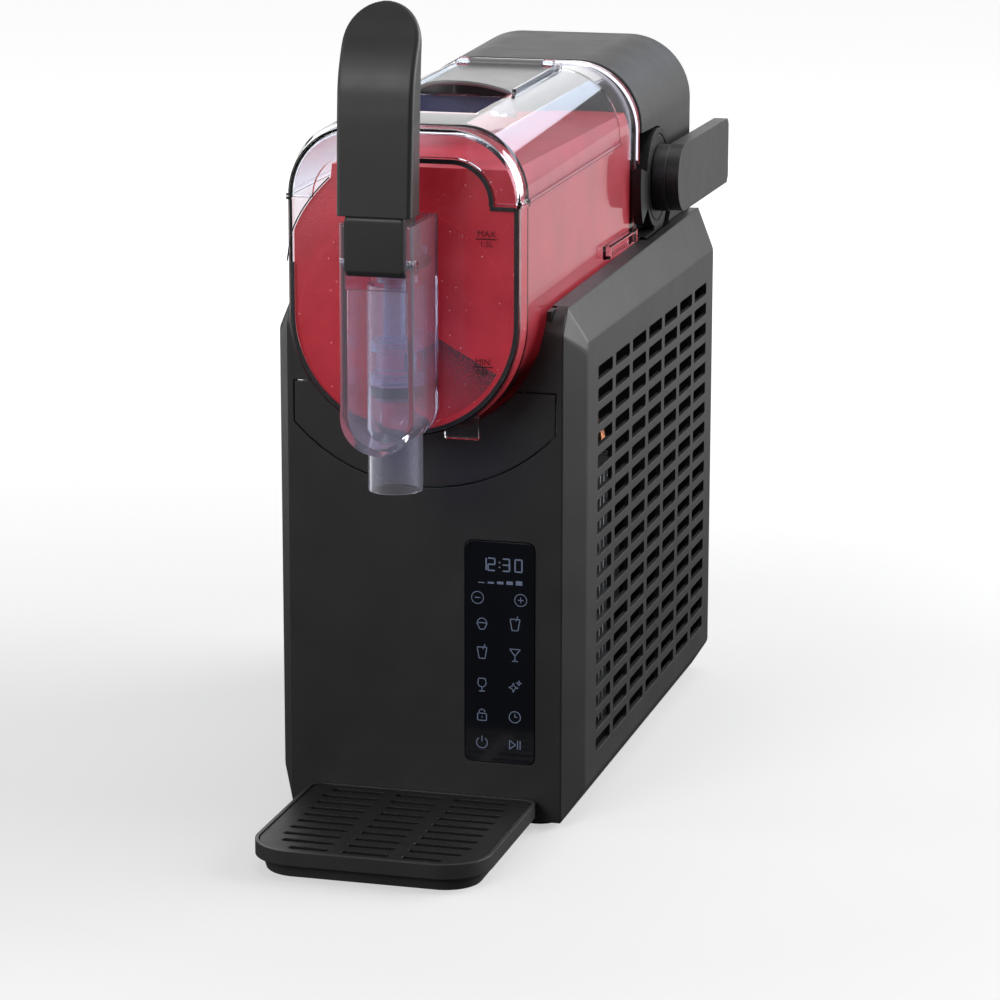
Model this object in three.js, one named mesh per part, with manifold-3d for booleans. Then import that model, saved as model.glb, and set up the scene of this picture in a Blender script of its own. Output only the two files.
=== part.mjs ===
// A counter-top slush machine: a clear bowl with a tap, a cold drum with a turning auger inside it,
// and a housing below that holds the compressor, the condenser and the fan.
// Millimetres, +Z up, the tap faces -Y. The parts are made with Y = 0 at the plane of the front fascia.
import * as THREE from "three";
import { mergeVertices } from "three/addons/utils/BufferGeometryUtils.js";
import Module from "manifold-3d";

const wasm = await Module();
wasm.setup();

// ---------------------------------------------------------------- driving dimensions
const GAP = 0.4; // clearance between separate pieces
const SKIN = 2.5; // wall of the housing mouldings

const HALF_WIDTH = 82.5; // outer face of a side panel
const FASCIA_HALF = 73; // edge of the front fascia, where the side bevel starts
const BODY_DEPTH = 320; // fascia to back
const DECK_FRONT = 273; // height of the deck at the front and at the back
const DECK_BACK = 279;
const FACE_LOW = 17.8; // the flat face of a side panel, inside its bevels
const FACE_HIGH = 255;
const FACE_FRONT = 16;
const RIM_BEND = 260; // above this the panel's rim leans back with the fascia's rolled top edge
const RIM_LEAN = 9;
const HOUSING_LOW = 3;
const FOOT_HEIGHT = 5;

const AXIS_Z = 272; // axis of the bowl's round bottom, the drum and the auger
const CRADLE_R = 64; // trough that the bowl lies in
const TROUGH_WALL = 2.5;
const BOWL_FRONT = -35.5;
const BOWL_BACK = 203;
const LID_BACK = 168; // the lid ends here and the bowl's collar goes on behind it
const BOWL_WALL = 2.5;
const BOWL_CORNER = 36; // radius of the two upper edges of the bowl
const SLUSH_TOP = 76; // above the axis
const AUGER_R = 53;
const DRUM_R = 33;

const VALVE_Y = -50; // axis of the spout and the plunger
const SPOUT_LOW = 188;
const COLUMN_FRONT = -81.7;
const COLUMN_HALF = 18.8;
const COLUMN_ROUND_Z = 230;
const COLUMN_TOP = 326;
const PIN_Y = -74.4; // pivot of the tap handle
const PIN_Z = 306.1;
const HANDLE_TOP = 432;

const TRAY_HALF = 61.5;
const TRAY_FRONT = -114.5;
const TRAY_HEIGHT = 15;

const HOOD_FRONT = 207;
const GEAR_TEETH = 32;
const PINION_TEETH = 8;
const GEAR_MODULE = 2;
const MOTOR_Z = ((GEAR_TEETH + PINION_TEETH) * GEAR_MODULE) / 2; // above the auger axis

const LOCK_Y = 238; // pivot of the bowl lock
const LOCK_Z = 307.5;
const LOCK_R = 27.8;
const LOCK_END = 358; // rear end of the lock's paddle

// ---------------------------------------------------------------- materials
const paint = (color, roughness, metalness = 0) =>
  new THREE.MeshStandardMaterial({ color, roughness, metalness });
const clear = (color) =>
  new THREE.MeshStandardMaterial({ color, roughness: 0.08, transparent: true, opacity: 0.4 });
const charcoal = () => paint(0x2b2c2e, 0.55);
const black = () => paint(0x17181a, 0.45);
const steel = () => paint(0xb9bcc0, 0.3, 1);
const copper = () => paint(0xb87333, 0.35, 1);
const rubber = () => paint(0x151515, 0.85);
const clearBlue = () => clear(0xdfe8f5);

// ---------------------------------------------------------------- outlines
// Points of an arc about (x, y), in degrees, both ends included.
function arc(x, y, r, from, to, steps) {
  const points = [];
  for (let i = 0; i <= steps; i++) {
    const a = THREE.MathUtils.degToRad(from + ((to - from) * i) / steps);
    points.push([x + r * Math.cos(a), y + r * Math.sin(a)]);
  }
  return points;
}

const circle = (x, y, r, steps) => arc(x, y, r, 0, 360, steps).slice(0, -1);

// A rectangle with round corners.
function rounded(x0, x1, y0, y1, r, steps = 3) {
  return [
    ...arc(x0 + r, y0 + r, r, 180, 270, steps),
    ...arc(x1 - r, y0 + r, r, 270, 360, steps),
    ...arc(x1 - r, y1 - r, r, 0, 90, steps),
    ...arc(x0 + r, y1 - r, r, 90, 180, steps),
  ];
}

// The bowl's section about its axis: a half round below, straight sides and round upper edges.
function barrel(half, top, corner, steps = 5) {
  return [
    ...arc(0, 0, half, 180, 360, 4 * steps),
    ...arc(half - corner, top - corner, corner, 0, 90, steps),
    ...arc(corner - half, top - corner, corner, 90, 180, steps),
  ];
}

// A toothed wheel's outline about its centre, with loose straight teeth.
function toothed(teeth, module, turned) {
  const pitch = (teeth * module) / 2;
  const root = pitch - 0.85 * module;
  const tip = pitch + 0.5 * module;
  const step = (2 * Math.PI) / teeth;
  const points = [];
  for (let i = 0; i < teeth; i++) {
    for (const [share, r] of [[-0.25, root], [-0.1, tip], [0.1, tip], [0.25, root]]) {
      const a = turned + step * (i + share);
      points.push([r * Math.cos(a), r * Math.sin(a)]);
    }
  }
  return points;
}

// ---------------------------------------------------------------- solids
// A closed geometry as a manifold solid, turned to face outwards.
function solid(geometry) {
  const bare = new THREE.BufferGeometry();
  const loose = geometry.index ? geometry.toNonIndexed() : geometry;
  bare.setAttribute("position", loose.getAttribute("position"));
  const merged = mergeVertices(bare, 1e-4);
  const vertProperties = new Float32Array(merged.attributes.position.array);
  const triVerts = new Uint32Array(merged.index.array);
  const made = new wasm.Manifold(new wasm.Mesh({ numProp: 3, vertProperties, triVerts }));
  if (made.volume() > 0) return made;
  for (let i = 0; i < triVerts.length; i += 3) {
    [triVerts[i + 1], triVerts[i + 2]] = [triVerts[i + 2], triVerts[i + 1]];
  }
  return new wasm.Manifold(new wasm.Mesh({ numProp: 3, vertProperties, triVerts }));
}

function geometryOf(made) {
  const mesh = made.getMesh();
  const stride = mesh.numProp;
  const positions = new Float32Array(mesh.numVert * 3);
  for (let i = 0; i < mesh.numVert; i++) {
    positions.set(mesh.vertProperties.subarray(i * stride, i * stride + 3), i * 3);
  }
  const geometry = new THREE.BufferGeometry();
  geometry.setAttribute("position", new THREE.BufferAttribute(positions, 3));
  geometry.setIndex(new THREE.BufferAttribute(new Uint32Array(mesh.triVerts), 1));
  geometry.computeVertexNormals();
  return geometry;
}

const join = (...solids) => solids.reduce((a, b) => a.add(b));
const cut = (from, ...tools) => tools.reduce((a, b) => a.subtract(b), from);

// An outline pushed along one axis, from low to high. It is drawn in (y, z), (x, z) or (x, y).
const FRAMES = {
  x: [new THREE.Vector3(0, 1, 0), new THREE.Vector3(0, 0, 1), new THREE.Vector3(1, 0, 0)],
  y: [new THREE.Vector3(1, 0, 0), new THREE.Vector3(0, 0, 1), new THREE.Vector3(0, -1, 0)],
  z: [new THREE.Vector3(1, 0, 0), new THREE.Vector3(0, 1, 0), new THREE.Vector3(0, 0, 1)],
};
function prism(axis, outline, low, high) {
  const shape = new THREE.Shape(outline.map(([a, b]) => new THREE.Vector2(a, b)));
  const geometry = new THREE.ExtrudeGeometry(shape, { depth: high - low, bevelEnabled: false });
  const start = axis === "y" ? high : low;
  const place = new THREE.Matrix4().makeBasis(...FRAMES[axis]);
  const along = new THREE.Vector3().setComponent("xyz".indexOf(axis), start);
  return solid(geometry.applyMatrix4(place).translate(along.x, along.y, along.z));
}

function block(x0, x1, y0, y1, z0, z1) {
  const geometry = new THREE.BoxGeometry(x1 - x0, y1 - y0, z1 - z0);
  return solid(geometry.translate((x0 + x1) / 2, (y0 + y1) / 2, (z0 + z1) / 2));
}

// A round bar along an axis, through (a, b) in the plane across it.
const rod = (axis, r, low, high, a = 0, b = 0, sides = 24) =>
  prism(axis, circle(a, b, r, sides), low, high);

// A tube along an axis.
const tube = (axis, outer, inner, low, high, a = 0, b = 0, sides = 24) =>
  cut(rod(axis, outer, low, high, a, b, sides), rod(axis, inner, low - 1, high + 1, a, b, sides));

// A closed skin through rings of equally many points, each ring at its own place along one axis.
function loft(axis, rings) {
  const count = rings[0].outline.length;
  const point = (ring, i) => {
    const [a, b] = rings[ring].outline[i % count];
    const at = rings[ring].at;
    if (axis === "x") return [at, a, b];
    return axis === "y" ? [a, at, b] : [a, b, at];
  };
  const positions = [];
  const face = (...corners) => corners.forEach((corner) => positions.push(...corner));
  for (let r = 0; r + 1 < rings.length; r++) {
    for (let i = 0; i < count; i++) {
      face(point(r, i), point(r, i + 1), point(r + 1, i + 1));
      face(point(r, i), point(r + 1, i + 1), point(r + 1, i));
    }
  }
  for (const ring of [0, rings.length - 1]) {
    const flat = rings[ring].outline.map(([a, b]) => new THREE.Vector2(a, b));
    const outlineIsAnti = THREE.ShapeUtils.area(flat) > 0;
    for (const [i, j, k] of THREE.ShapeUtils.triangulateShape(flat, [])) {
      const turn = (flat[j].x - flat[i].x) * (flat[k].y - flat[i].y);
      const anti = turn - (flat[j].y - flat[i].y) * (flat[k].x - flat[i].x) > 0;
      const forward = (anti === outlineIsAnti) === ring > 0;
      face(point(ring, i), point(ring, forward ? j : k), point(ring, forward ? k : j));
    }
  }
  const geometry = new THREE.BufferGeometry();
  geometry.setAttribute("position", new THREE.Float32BufferAttribute(positions, 3));
  return solid(geometry);
}

// A round bar of the given radius along a smooth path.
function pipe(points, r, sides, steps) {
  const stops = points.map((p) => new THREE.Vector3(...p));
  const extrudePath = new THREE.CatmullRomCurve3(stops, false, "centripetal");
  const shape = new THREE.Shape(circle(0, 0, r, sides).map(([a, b]) => new THREE.Vector2(a, b)));
  return solid(new THREE.ExtrudeGeometry(shape, { steps, extrudePath, bevelEnabled: false }));
}

// A coil of round wire about the Y axis.
class Helix extends THREE.Curve {
  constructor(r, y0, y1, turns) {
    super();
    Object.assign(this, { r, y0, y1, turns });
  }
  getPoint(t, target = new THREE.Vector3()) {
    const a = 2 * Math.PI * this.turns * t;
    return target.set(this.r * Math.cos(a), this.y0 + (this.y1 - this.y0) * t, this.r * Math.sin(a));
  }
}
function coil(r, wire, y0, y1, turns, sides, stepsPerTurn) {
  const shape = new THREE.Shape(circle(0, 0, wire, sides).map(([a, b]) => new THREE.Vector2(a, b)));
  const extrudePath = new Helix(r, y0, y1, turns);
  const steps = Math.round(turns * stepsPerTurn);
  return solid(new THREE.ExtrudeGeometry(shape, { steps, extrudePath, bevelEnabled: false }));
}

// ---------------------------------------------------------------- scene graph
const machine = new THREE.Group();

function group(parent, x = 0, y = 0, z = 0) {
  const made = new THREE.Group();
  made.position.set(x, y, z);
  parent.add(made);
  return made;
}

function add(parent, name, made, material) {
  const mesh = new THREE.Mesh(geometryOf(made), material);
  mesh.name = name;
  parent.add(mesh);
  return mesh;
}

// ---------------------------------------------------------------- housing
const deckAt = (y) => DECK_FRONT + ((DECK_BACK - DECK_FRONT) * y) / BODY_DEPTH;

// A side panel is a dish: a flat face with a wide bevel at the front, the top and the bottom, and a grille.
const GRILLE = {
  ...{ columns: 7, y0: 37.8, pitchY: 38.6, holeY: 31.7 },
  ...{ rows: 18, z0: 31, pitchZ: 11.75, holeZ: 7.2 },
};
function sidePanel(side) {
  const faceStep = 6;
  const face = (inset, x) => ({
    at: side * x,
    outline: [
      [FACE_FRONT + inset, FACE_LOW + inset],
      [BODY_DEPTH - inset, FACE_LOW + inset],
      [BODY_DEPTH - inset, FACE_HIGH - inset],
      [FACE_FRONT + inset, FACE_HIGH - inset],
      [FACE_FRONT + inset, FACE_HIGH - inset - faceStep],
    ],
  });
  const rim = (inset, x) => ({
    at: side * x,
    outline: [
      [inset, HOUSING_LOW + inset],
      [BODY_DEPTH - inset, HOUSING_LOW + inset],
      [BODY_DEPTH - inset, deckAt(BODY_DEPTH) - inset],
      [inset + RIM_LEAN, deckAt(0) - inset],
      [inset, RIM_BEND - inset],
    ],
  });
  const inner = FASCIA_HALF + GAP;
  const panel = cut(
    loft("x", [rim(0, inner), face(0, HALF_WIDTH)]),
    loft("x", [rim(SKIN, inner - 1), rim(SKIN, inner), face(SKIN, HALF_WIDTH - SKIN)]),
  );
  const [x0, x1] = [side * (HALF_WIDTH - 2 * SKIN), side * (HALF_WIDTH + 1)].sort((a, b) => a - b);
  const holes = [];
  for (let c = 0; c < GRILLE.columns; c++) {
    for (let r = 0; r < GRILLE.rows; r++) {
      const y = GRILLE.y0 + c * GRILLE.pitchY;
      const z = GRILLE.z0 + r * GRILLE.pitchZ;
      holes.push(block(x0, x1, y, y + GRILLE.holeY, z, z + GRILLE.holeZ));
    }
  }
  return cut(panel, join(...holes));
}

// The front fascia: a flat plate whose top edge rolls back to the deck, open for the bowl,
// for the condensation tray and for the control glass.
const PANEL_OUTER_R = 94.6; // lower edge of the condensation tray's front, about the bowl axis
const PANEL_HALF = 70;
const PANEL_TOP = 230.5;
const GLASS = { x0: 22, x1: 59, z0: 33.3, z1: 151.5, r: 4 };
const smile = (outer, half, top) => {
  const reach = THREE.MathUtils.radToDeg(Math.asin(half / outer));
  return [...arc(0, AXIS_Z, outer, 270 - reach, 270 + reach, 16), [half, top], [-half, top]];
};
const TONGUE = { x: 35, half: 7 }; // slots under the fascia for the drip tray's two tongues
function frontFascia() {
  const roll = 15;
  const profile = [
    [0, HOUSING_LOW],
    [SKIN, HOUSING_LOW],
    ...arc(roll, DECK_FRONT - roll, roll - SKIN, 180, 95, 5),
    ...arc(roll, DECK_FRONT - roll, roll, 95, 180, 5),
  ];
  return cut(
    prism("x", profile, -FASCIA_HALF, FASCIA_HALF),
    rod("y", CRADLE_R, -1, 20, 0, AXIS_Z, 40),
    rod("y", CRADLE_R + TROUGH_WALL + GAP, SKIN, 20, 0, AXIS_Z, 40),
    prism("y", smile(PANEL_OUTER_R, PANEL_HALF, PANEL_TOP), -1, 6),
    prism("y", rounded(GLASS.x0 - GAP, GLASS.x1 + GAP, GLASS.z0 - GAP, GLASS.z1 + GAP, GLASS.r), -1, 6),
    ...[-TONGUE.x, TONGUE.x].map((x) => block(x - TONGUE.half, x + TONGUE.half, -1, 6, 5, 9)),
  );
}

// The bowl lock's hook turns through this ring; the hood, the deck and the bowl's flange leave it free.
const HOOK = { inner: 38.4, outer: 42.5, x0: 62.4, x1: 67.4, web: 1.6, from: 166, to: 210 };
const hookPath = () => {
  const clear = 0.6;
  const [inner, outer, end] = [HOOK.inner - clear, HOOK.outer + clear, HOOK.x1 + clear];
  const lip = tube("x", outer, inner, HOOK.x0 - clear, end, LOCK_Y, LOCK_Z, 40);
  const web = rod("x", outer, HOOK.x1 - HOOK.web - GAP, end, LOCK_Y, LOCK_Z, 40);
  const aboveHook = block(0, 100, 100, 400, 320, 400);
  return cut(join(lip, web), aboveHook);
};

// The deck with the trough that the bowl lies in, and the well for the gearbox behind it.
const WELL = { half: 42, y0: 224, y1: 312 };
const DRAIN = { y: 60, r: 2 }; // drains the trough into the condensation tray
function cradleDeck() {
  const front = 14.5;
  const back = BODY_DEPTH - 4;
  const shaftHole = 22;
  const profile = [
    [front, deckAt(front) - 3],
    [back, deckAt(back) - 3],
    [back, deckAt(back) - GAP],
    [front, deckAt(front) - GAP],
  ];
  const slab = prism("x", profile, -FASCIA_HALF, FASCIA_HALF);
  const troughBack = HOOD_FRONT + 6;
  const trough = cut(
    rod("y", CRADLE_R + TROUGH_WALL, SKIN + GAP, troughBack, 0, AXIS_Z, 40),
    block(-90, 90, -5, 330, AXIS_Z, 400),
  );
  return cut(
    join(slab, trough),
    rod("y", CRADLE_R, -5, troughBack - TROUGH_WALL, 0, AXIS_Z, 40),
    rod("y", shaftHole, 200, WELL.y0 + 1, 0, AXIS_Z),
    rod("z", DRAIN.r, 195, 215, 0, DRAIN.y, 12),
    block(-WELL.half, WELL.half, WELL.y0, WELL.y1, 265, 300),
    hookPath(),
  );
}

function basePan() {
  const half = FASCIA_HALF - 1;
  const floor = 8;
  const outer = block(-half, half, SKIN + GAP, BODY_DEPTH - 4, FOOT_HEIGHT + GAP, 16);
  const inside = block(2 - half, half - 2, SKIN + GAP + 2, BODY_DEPTH - 6, floor, 20);
  const vents = [150, 164, 178, 192, 206].map((y) => block(-50, -20, y, y + 6, 0, 20));
  const tongues = [-TONGUE.x, TONGUE.x].map((x) => block(x - TONGUE.half, x + TONGUE.half, 0, 8, 2, 9.4));
  return cut(outer, inside, ...vents, ...tongues);
}

// The rear cover, with vent slots in front of the board and an opening for the mains inlet.
const INLET = { x: 40, z: 45, halfX: 14, halfZ: 10 };
const VENT = { count: 12, x0: -55, x1: 5, z0: 60, pitch: 14, high: 7 };
function rearCover() {
  const plate = block(-FASCIA_HALF, FASCIA_HALF, BODY_DEPTH - 3, BODY_DEPTH, HOUSING_LOW, DECK_BACK - 0.6);
  const slots = [];
  for (let i = 0; i < VENT.count; i++) {
    const z = VENT.z0 + i * VENT.pitch;
    slots.push(block(VENT.x0, VENT.x1, 300, 330, z, z + VENT.high));
  }
  const { x, z, halfX, halfZ } = INLET;
  slots.push(block(x - halfX, x + halfX, 300, 330, z - halfZ, z + halfZ));
  return cut(plate, join(...slots));
}

// The mains inlet: a socket moulding with three pins, set in the rear cover.
function powerInlet() {
  const { x, z, halfX, halfZ } = INLET;
  const plate = (wide, high, y0, y1) =>
    block(x - wide, x + wide, BODY_DEPTH + y0, BODY_DEPTH + y1, z - high, z + high);
  const flange = plate(halfX + 4, halfZ + 3, 0.3, 1.8);
  const body = plate(halfX - GAP, halfZ - GAP, -22, 1);
  const socket = plate(11, 7, -14, 5);
  const pins = [-7, 0, 7].map((dx, i) => {
    const dz = i === 1 ? 2 : -2;
    return block(x + dx - 1, x + dx + 1, BODY_DEPTH - 16, BODY_DEPTH - 4, z + dz - 2, z + dz + 2);
  });
  return join(cut(join(flange, body), socket), ...pins);
}

// The hood over the gear motor carries on the bowl's section and widens to the back.
const hoodRing = (y, inset = 0) => {
  const share = (y - HOOD_FRONT) / (BODY_DEPTH - HOOD_FRONT);
  const half = 64.9 + 3.1 * share - inset;
  const top = 375.5 + 3.6 * share - inset - AXIS_Z;
  return { at: y, outline: barrel(half, top, BOWL_CORNER - inset).map(([x, z]) => [x, z + AXIS_Z]) };
};
function motorHood() {
  const back = BODY_DEPTH;
  const shell = cut(
    loft("y", [hoodRing(HOOD_FRONT), hoodRing(back - 3), hoodRing(back, 2)]),
    loft("y", [hoodRing(HOOD_FRONT - 1, SKIN), hoodRing(back - SKIN, SKIN)]),
    prism("x", [[0, 0], [400, 0], [400, deckAt(400)], [0, deckAt(0)]], -100, 100),
  );
  const corner = block(HOOK.x0 - 0.5, 70, HOOD_FRONT - 1, LOCK_Y, 262, LOCK_Z + LOCK_R + 0.8);
  return cut(shell, rod("x", LOCK_R + 0.8, 40, 90, LOCK_Y, LOCK_Z, 40), hookPath(), corner);
}

function bulkhead() {
  const y0 = HOOD_FRONT - 0.4;
  const outline = barrel(61.6, 100, BOWL_CORNER - 3).map(([x, z]) => [x, z + AXIS_Z]);
  return cut(prism("y", outline, y0, y0 + 3), rod("y", DRUM_R - 6, 0, 400, 0, AXIS_Z));
}

const footShape = () =>
  join(rod("z", 11, 0, FOOT_HEIGHT, 0, 0, 20), rod("z", 3, 1, FOOT_HEIGHT + 0.2, 0, 0, 8));

const housing = group(machine);
add(housing, "base_pan", basePan(), black());
for (const [name, x, y] of [
  ["foot_front_left", -58, 16],
  ["foot_front_right", 58, 16],
  ["foot_rear_left", -58, 296],
  ["foot_rear_right", 58, 296],
]) {
  add(group(housing, x, y, 0), name, footShape(), rubber());
}
add(housing, "front_fascia", frontFascia(), charcoal());
add(housing, "side_panel_left", sidePanel(-1), charcoal());
add(housing, "side_panel_right", sidePanel(1), charcoal());
add(housing, "rear_cover", rearCover(), charcoal());
add(housing, "cradle_deck", cradleDeck(), charcoal());
add(housing, "motor_hood", motorHood(), charcoal());
add(housing, "bulkhead", bulkhead(), black());
add(housing, "power_inlet", powerInlet(), black());
const circuitGreen = () => paint(0x1d5c3a, 0.5);
const controlGlass = () =>
  prism("y", rounded(GLASS.x0, GLASS.x1, GLASS.z0, GLASS.z1, GLASS.r), -0.2, 2.2);
const controlBoard = () =>
  block(GLASS.x0 - 4, GLASS.x1 + 4, SKIN + 0.7, SKIN + 2.3, GLASS.z0 - 4, GLASS.z1 + 4);
add(housing, "control_glass", controlGlass(), paint(0x05060a, 0.12));
add(housing, "control_board", controlBoard(), circuitGreen());

// ---------------------------------------------------------------- cold drum and drive
const cold = group(machine, 0, 0, AXIS_Z);
const drumFront = -15;
function evaporatorDrum() {
  const shell = tube("y", DRUM_R, DRUM_R - 1.5, drumFront, HOOD_FRONT - 1, 0, 0, 32);
  const nose = cut(rod("y", DRUM_R, drumFront, drumFront + 2.5, 0, 0, 32), rod("y", 9, -20, 20));
  return join(shell, nose);
}
add(cold, "evaporator_drum", evaporatorDrum(), steel());
add(cold, "evaporator_coil", coil(DRUM_R - 6.5, 3, 18, 190, 4.5, 5, 10), copper());
const SHAFT_R = 5;
const SHAFT_BORE = 5.5; // of everything that the shaft turns in
const bushing = join(
  tube("y", 8.6, SHAFT_BORE, drumFront - 1, drumFront + 10, 0, 0, 16),
  tube("y", 11, SHAFT_BORE, drumFront - 2.5, drumFront - 0.3, 0, 0, 16),
);
add(cold, "nose_bushing", bushing, paint(0xe8e4d8, 0.5));
add(cold, "shaft_seal", tube("y", 10, SHAFT_BORE, HOOD_FRONT + 6.4, HOOD_FRONT + 10.4), rubber());

// The gearbox: a cast case with a flat cover in front, the gears between them and the motor behind.
const GEARBOX = { half: 39, low: -38, high: MOTOR_Z + 16, front: 228.5, split: 231.6, back: 262 };
const castMetal = () => paint(0x8d9094, 0.4, 1);
const gearboxOutline = (inset) => {
  const { half, low, high } = GEARBOX;
  return rounded(inset - half, half - inset, low + inset, high - inset, 8 - inset);
};
function gearboxCase() {
  const { split, back } = GEARBOX;
  return cut(
    prism("y", gearboxOutline(0), split + GAP, back),
    prism("y", gearboxOutline(SKIN), split - 2, back - SKIN),
    rod("y", 8.5, 250, 270),
    rod("y", 5, 250, 270, 0, MOTOR_Z),
  );
}
const gearboxCover = () =>
  cut(prism("y", gearboxOutline(0), GEARBOX.front, GEARBOX.split), rod("y", 7, 220, 240));
const gearMotor = () =>
  cut(rod("y", 25, GEARBOX.back + GAP, 312, 0, MOTOR_Z, 28), rod("y", 3.6, 260, 272, 0, MOTOR_Z, 12));
add(cold, "gearbox_case", gearboxCase(), castMetal());
add(cold, "gearbox_cover", gearboxCover(), castMetal());
add(cold, "shaft_bearing", tube("y", 8.1, 5.4, 254, GEARBOX.back), steel());
add(cold, "gear_motor", gearMotor(), steel());

const augerSpin = group(cold);
const HUB_BORE = SHAFT_R + 0.3; // of everything that turns with the shaft
const GEAR_Y = { low: 238, high: 248 };
const driveShaft = () =>
  join(rod("y", SHAFT_R, drumFront - 13, 268, 0, 0, 16), rod("y", 6.5, 248.5, 253.4, 0, 0, 16));
function driveGear() {
  const outline = toothed(GEAR_TEETH, GEAR_MODULE, Math.PI / 2);
  return cut(prism("y", outline, GEAR_Y.low, GEAR_Y.high), rod("y", HUB_BORE, 230, 250, 0, 0, 12));
}
function motorPinion() {
  const outline = toothed(PINION_TEETH, GEAR_MODULE, Math.PI / 2 + Math.PI / PINION_TEETH);
  return join(prism("y", outline, GEAR_Y.low, GEAR_Y.high), rod("y", 3, 235, 269, 0, 0, 12));
}
add(augerSpin, "drive_shaft", driveShaft(), steel());
add(augerSpin, "drive_gear", driveGear(), paint(0xefece2, 0.5));
add(group(cold, 0, 0, MOTOR_Z), "motor_pinion", motorPinion(), paint(0xc9a24a, 0.4, 1));

// The auger: a helical ribbon round the drum, an arm at the front and a hub on the shaft.
function auger() {
  const turns = 2.25;
  const stepsPerTurn = 20;
  const inner = DRUM_R + 2;
  const width = 7;
  const y0 = drumFront - 7;
  const y1 = 196;
  const positions = [];
  const steps = Math.round(turns * stepsPerTurn);
  const corner = (i, k) => {
    const a = -Math.PI / 4 - (2 * Math.PI * i) / stepsPerTurn;
    const y = y0 + ((y1 - y0 - width) * i) / steps + (k > 1 ? width : 0);
    const r = k === 0 || k === 3 ? inner : AUGER_R;
    return [r * Math.cos(a), y, r * Math.sin(a)];
  };
  const face = (...corners) => corners.forEach((c) => positions.push(...c));
  for (let i = 0; i < steps; i++) {
    for (let k = 0; k < 4; k++) {
      const next = (k + 1) % 4;
      face(corner(i, k), corner(i, next), corner(i + 1, next));
      face(corner(i, k), corner(i + 1, next), corner(i + 1, k));
    }
  }
  face(corner(0, 0), corner(0, 2), corner(0, 1));
  face(corner(0, 0), corner(0, 3), corner(0, 2));
  face(corner(steps, 0), corner(steps, 1), corner(steps, 2));
  face(corner(steps, 0), corner(steps, 2), corner(steps, 3));
  const geometry = new THREE.BufferGeometry();
  geometry.setAttribute("position", new THREE.Float32BufferAttribute(positions, 3));
  const bar = new THREE.BoxGeometry(AUGER_R, 6, 11).translate(AUGER_R / 2, y0 + 1, 0);
  const arm = cut(solid(bar.rotateY(Math.PI / 4)), tube("y", 80, AUGER_R, y0 - 20, y0 + 20));
  const hub = rod("y", 11, y0 - 3, y0 + 4, 0, 0, 20);
  return cut(join(solid(geometry), arm, hub), rod("y", HUB_BORE, -60, 60, 0, 0, 16));
}
add(augerSpin, "auger", auger(), paint(0x2c2a33, 0.4));
function augerNut() {
  const front = drumFront - 15.2;
  return cut(rod("y", 9, front, front + 4.9, 0, 0, 6), rod("y", HUB_BORE, front + 1.6, front + 8, 0, 0, 16));
}
add(augerSpin, "auger_nut", augerNut(), black());

// ---------------------------------------------------------------- bowl
// The bowl's outer section at y: its edges are rolled at the front, and its top rises gently to the back.
const FRONT_ROLL = -25;
const rollShare = (y) => Math.min((y - BOWL_FRONT) / (FRONT_ROLL - BOWL_FRONT), 1);
const bowlHalf = (y) => 60 + 2 * rollShare(y);
const bowlTop = (y) => 367 + 2.5 * rollShare(y) + 0.031 * Math.max(y - FRONT_ROLL, 0);
const partingAt = (y) => 331 + 0.018 * (y - BOWL_FRONT);
const raised = (outline) => outline.map(([x, z]) => [x, z + AXIS_Z]);
const bowlRing = (y, inset, at = y) => ({
  at,
  outline: raised(barrel(bowlHalf(y) - inset, bowlTop(y) - AXIS_Z - inset, BOWL_CORNER - inset)),
});
const bowlOuter = (back, swell = 0) =>
  loft("y", [
    bowlRing(BOWL_FRONT, 1 - swell, BOWL_FRONT - swell),
    bowlRing(BOWL_FRONT, -swell, BOWL_FRONT + 1),
    bowlRing(FRONT_ROLL, -swell),
    bowlRing(back, -swell),
  ]);
const bowlInner = (back, inset) => {
  const front = BOWL_FRONT + inset;
  return loft("y", [bowlRing(front, inset), bowlRing(FRONT_ROLL, inset), bowlRing(back, inset)]);
};

// Everything above a line along the parting, offset by dz, from y0 to the lid's back edge or further.
const aboveParting = (y0, y1, dz) =>
  prism("x", [[y0, partingAt(y0) + dz], [y1, partingAt(y1) + dz], [y1, 420], [y0, 420]], -100, 100);
const belowParting = (y0, y1, dz) =>
  prism("x", [[y0, 100], [y1, 100], [y1, partingAt(y1) + dz], [y0, partingAt(y0) + dz]], -100, 100);

// The arch of the bowl's front wall that stands up into the lid.
const ARCH = { half: 47, top: 353, r: 22 };
const arch = (inset, low, y0, y1) => {
  const { half, top, r } = ARCH;
  const outline = [
    [-half + inset, low],
    [half - inset, low],
    ...arc(half - r, top - r, r - inset, 0, 90, 6),
    ...arc(r - half, top - r, r - inset, 90, 180, 6),
  ];
  return prism("y", outline, y0, y1);
};

// A narrow rim round the bowl at the parting, from dz0 to dz1 above it.
const partingRim = (dz0, dz1) =>
  cut(
    bowlOuter(LID_BACK, 1),
    bowlInner(LID_BACK + 2, BOWL_WALL),
    belowParting(BOWL_FRONT - 9, LID_BACK + 9, dz0),
    aboveParting(BOWL_FRONT - 9, LID_BACK + 9, dz1),
    block(-ARCH.half - 1, ARCH.half + 1, BOWL_FRONT - 9, BOWL_FRONT + 5, 200, 400),
  );

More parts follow.
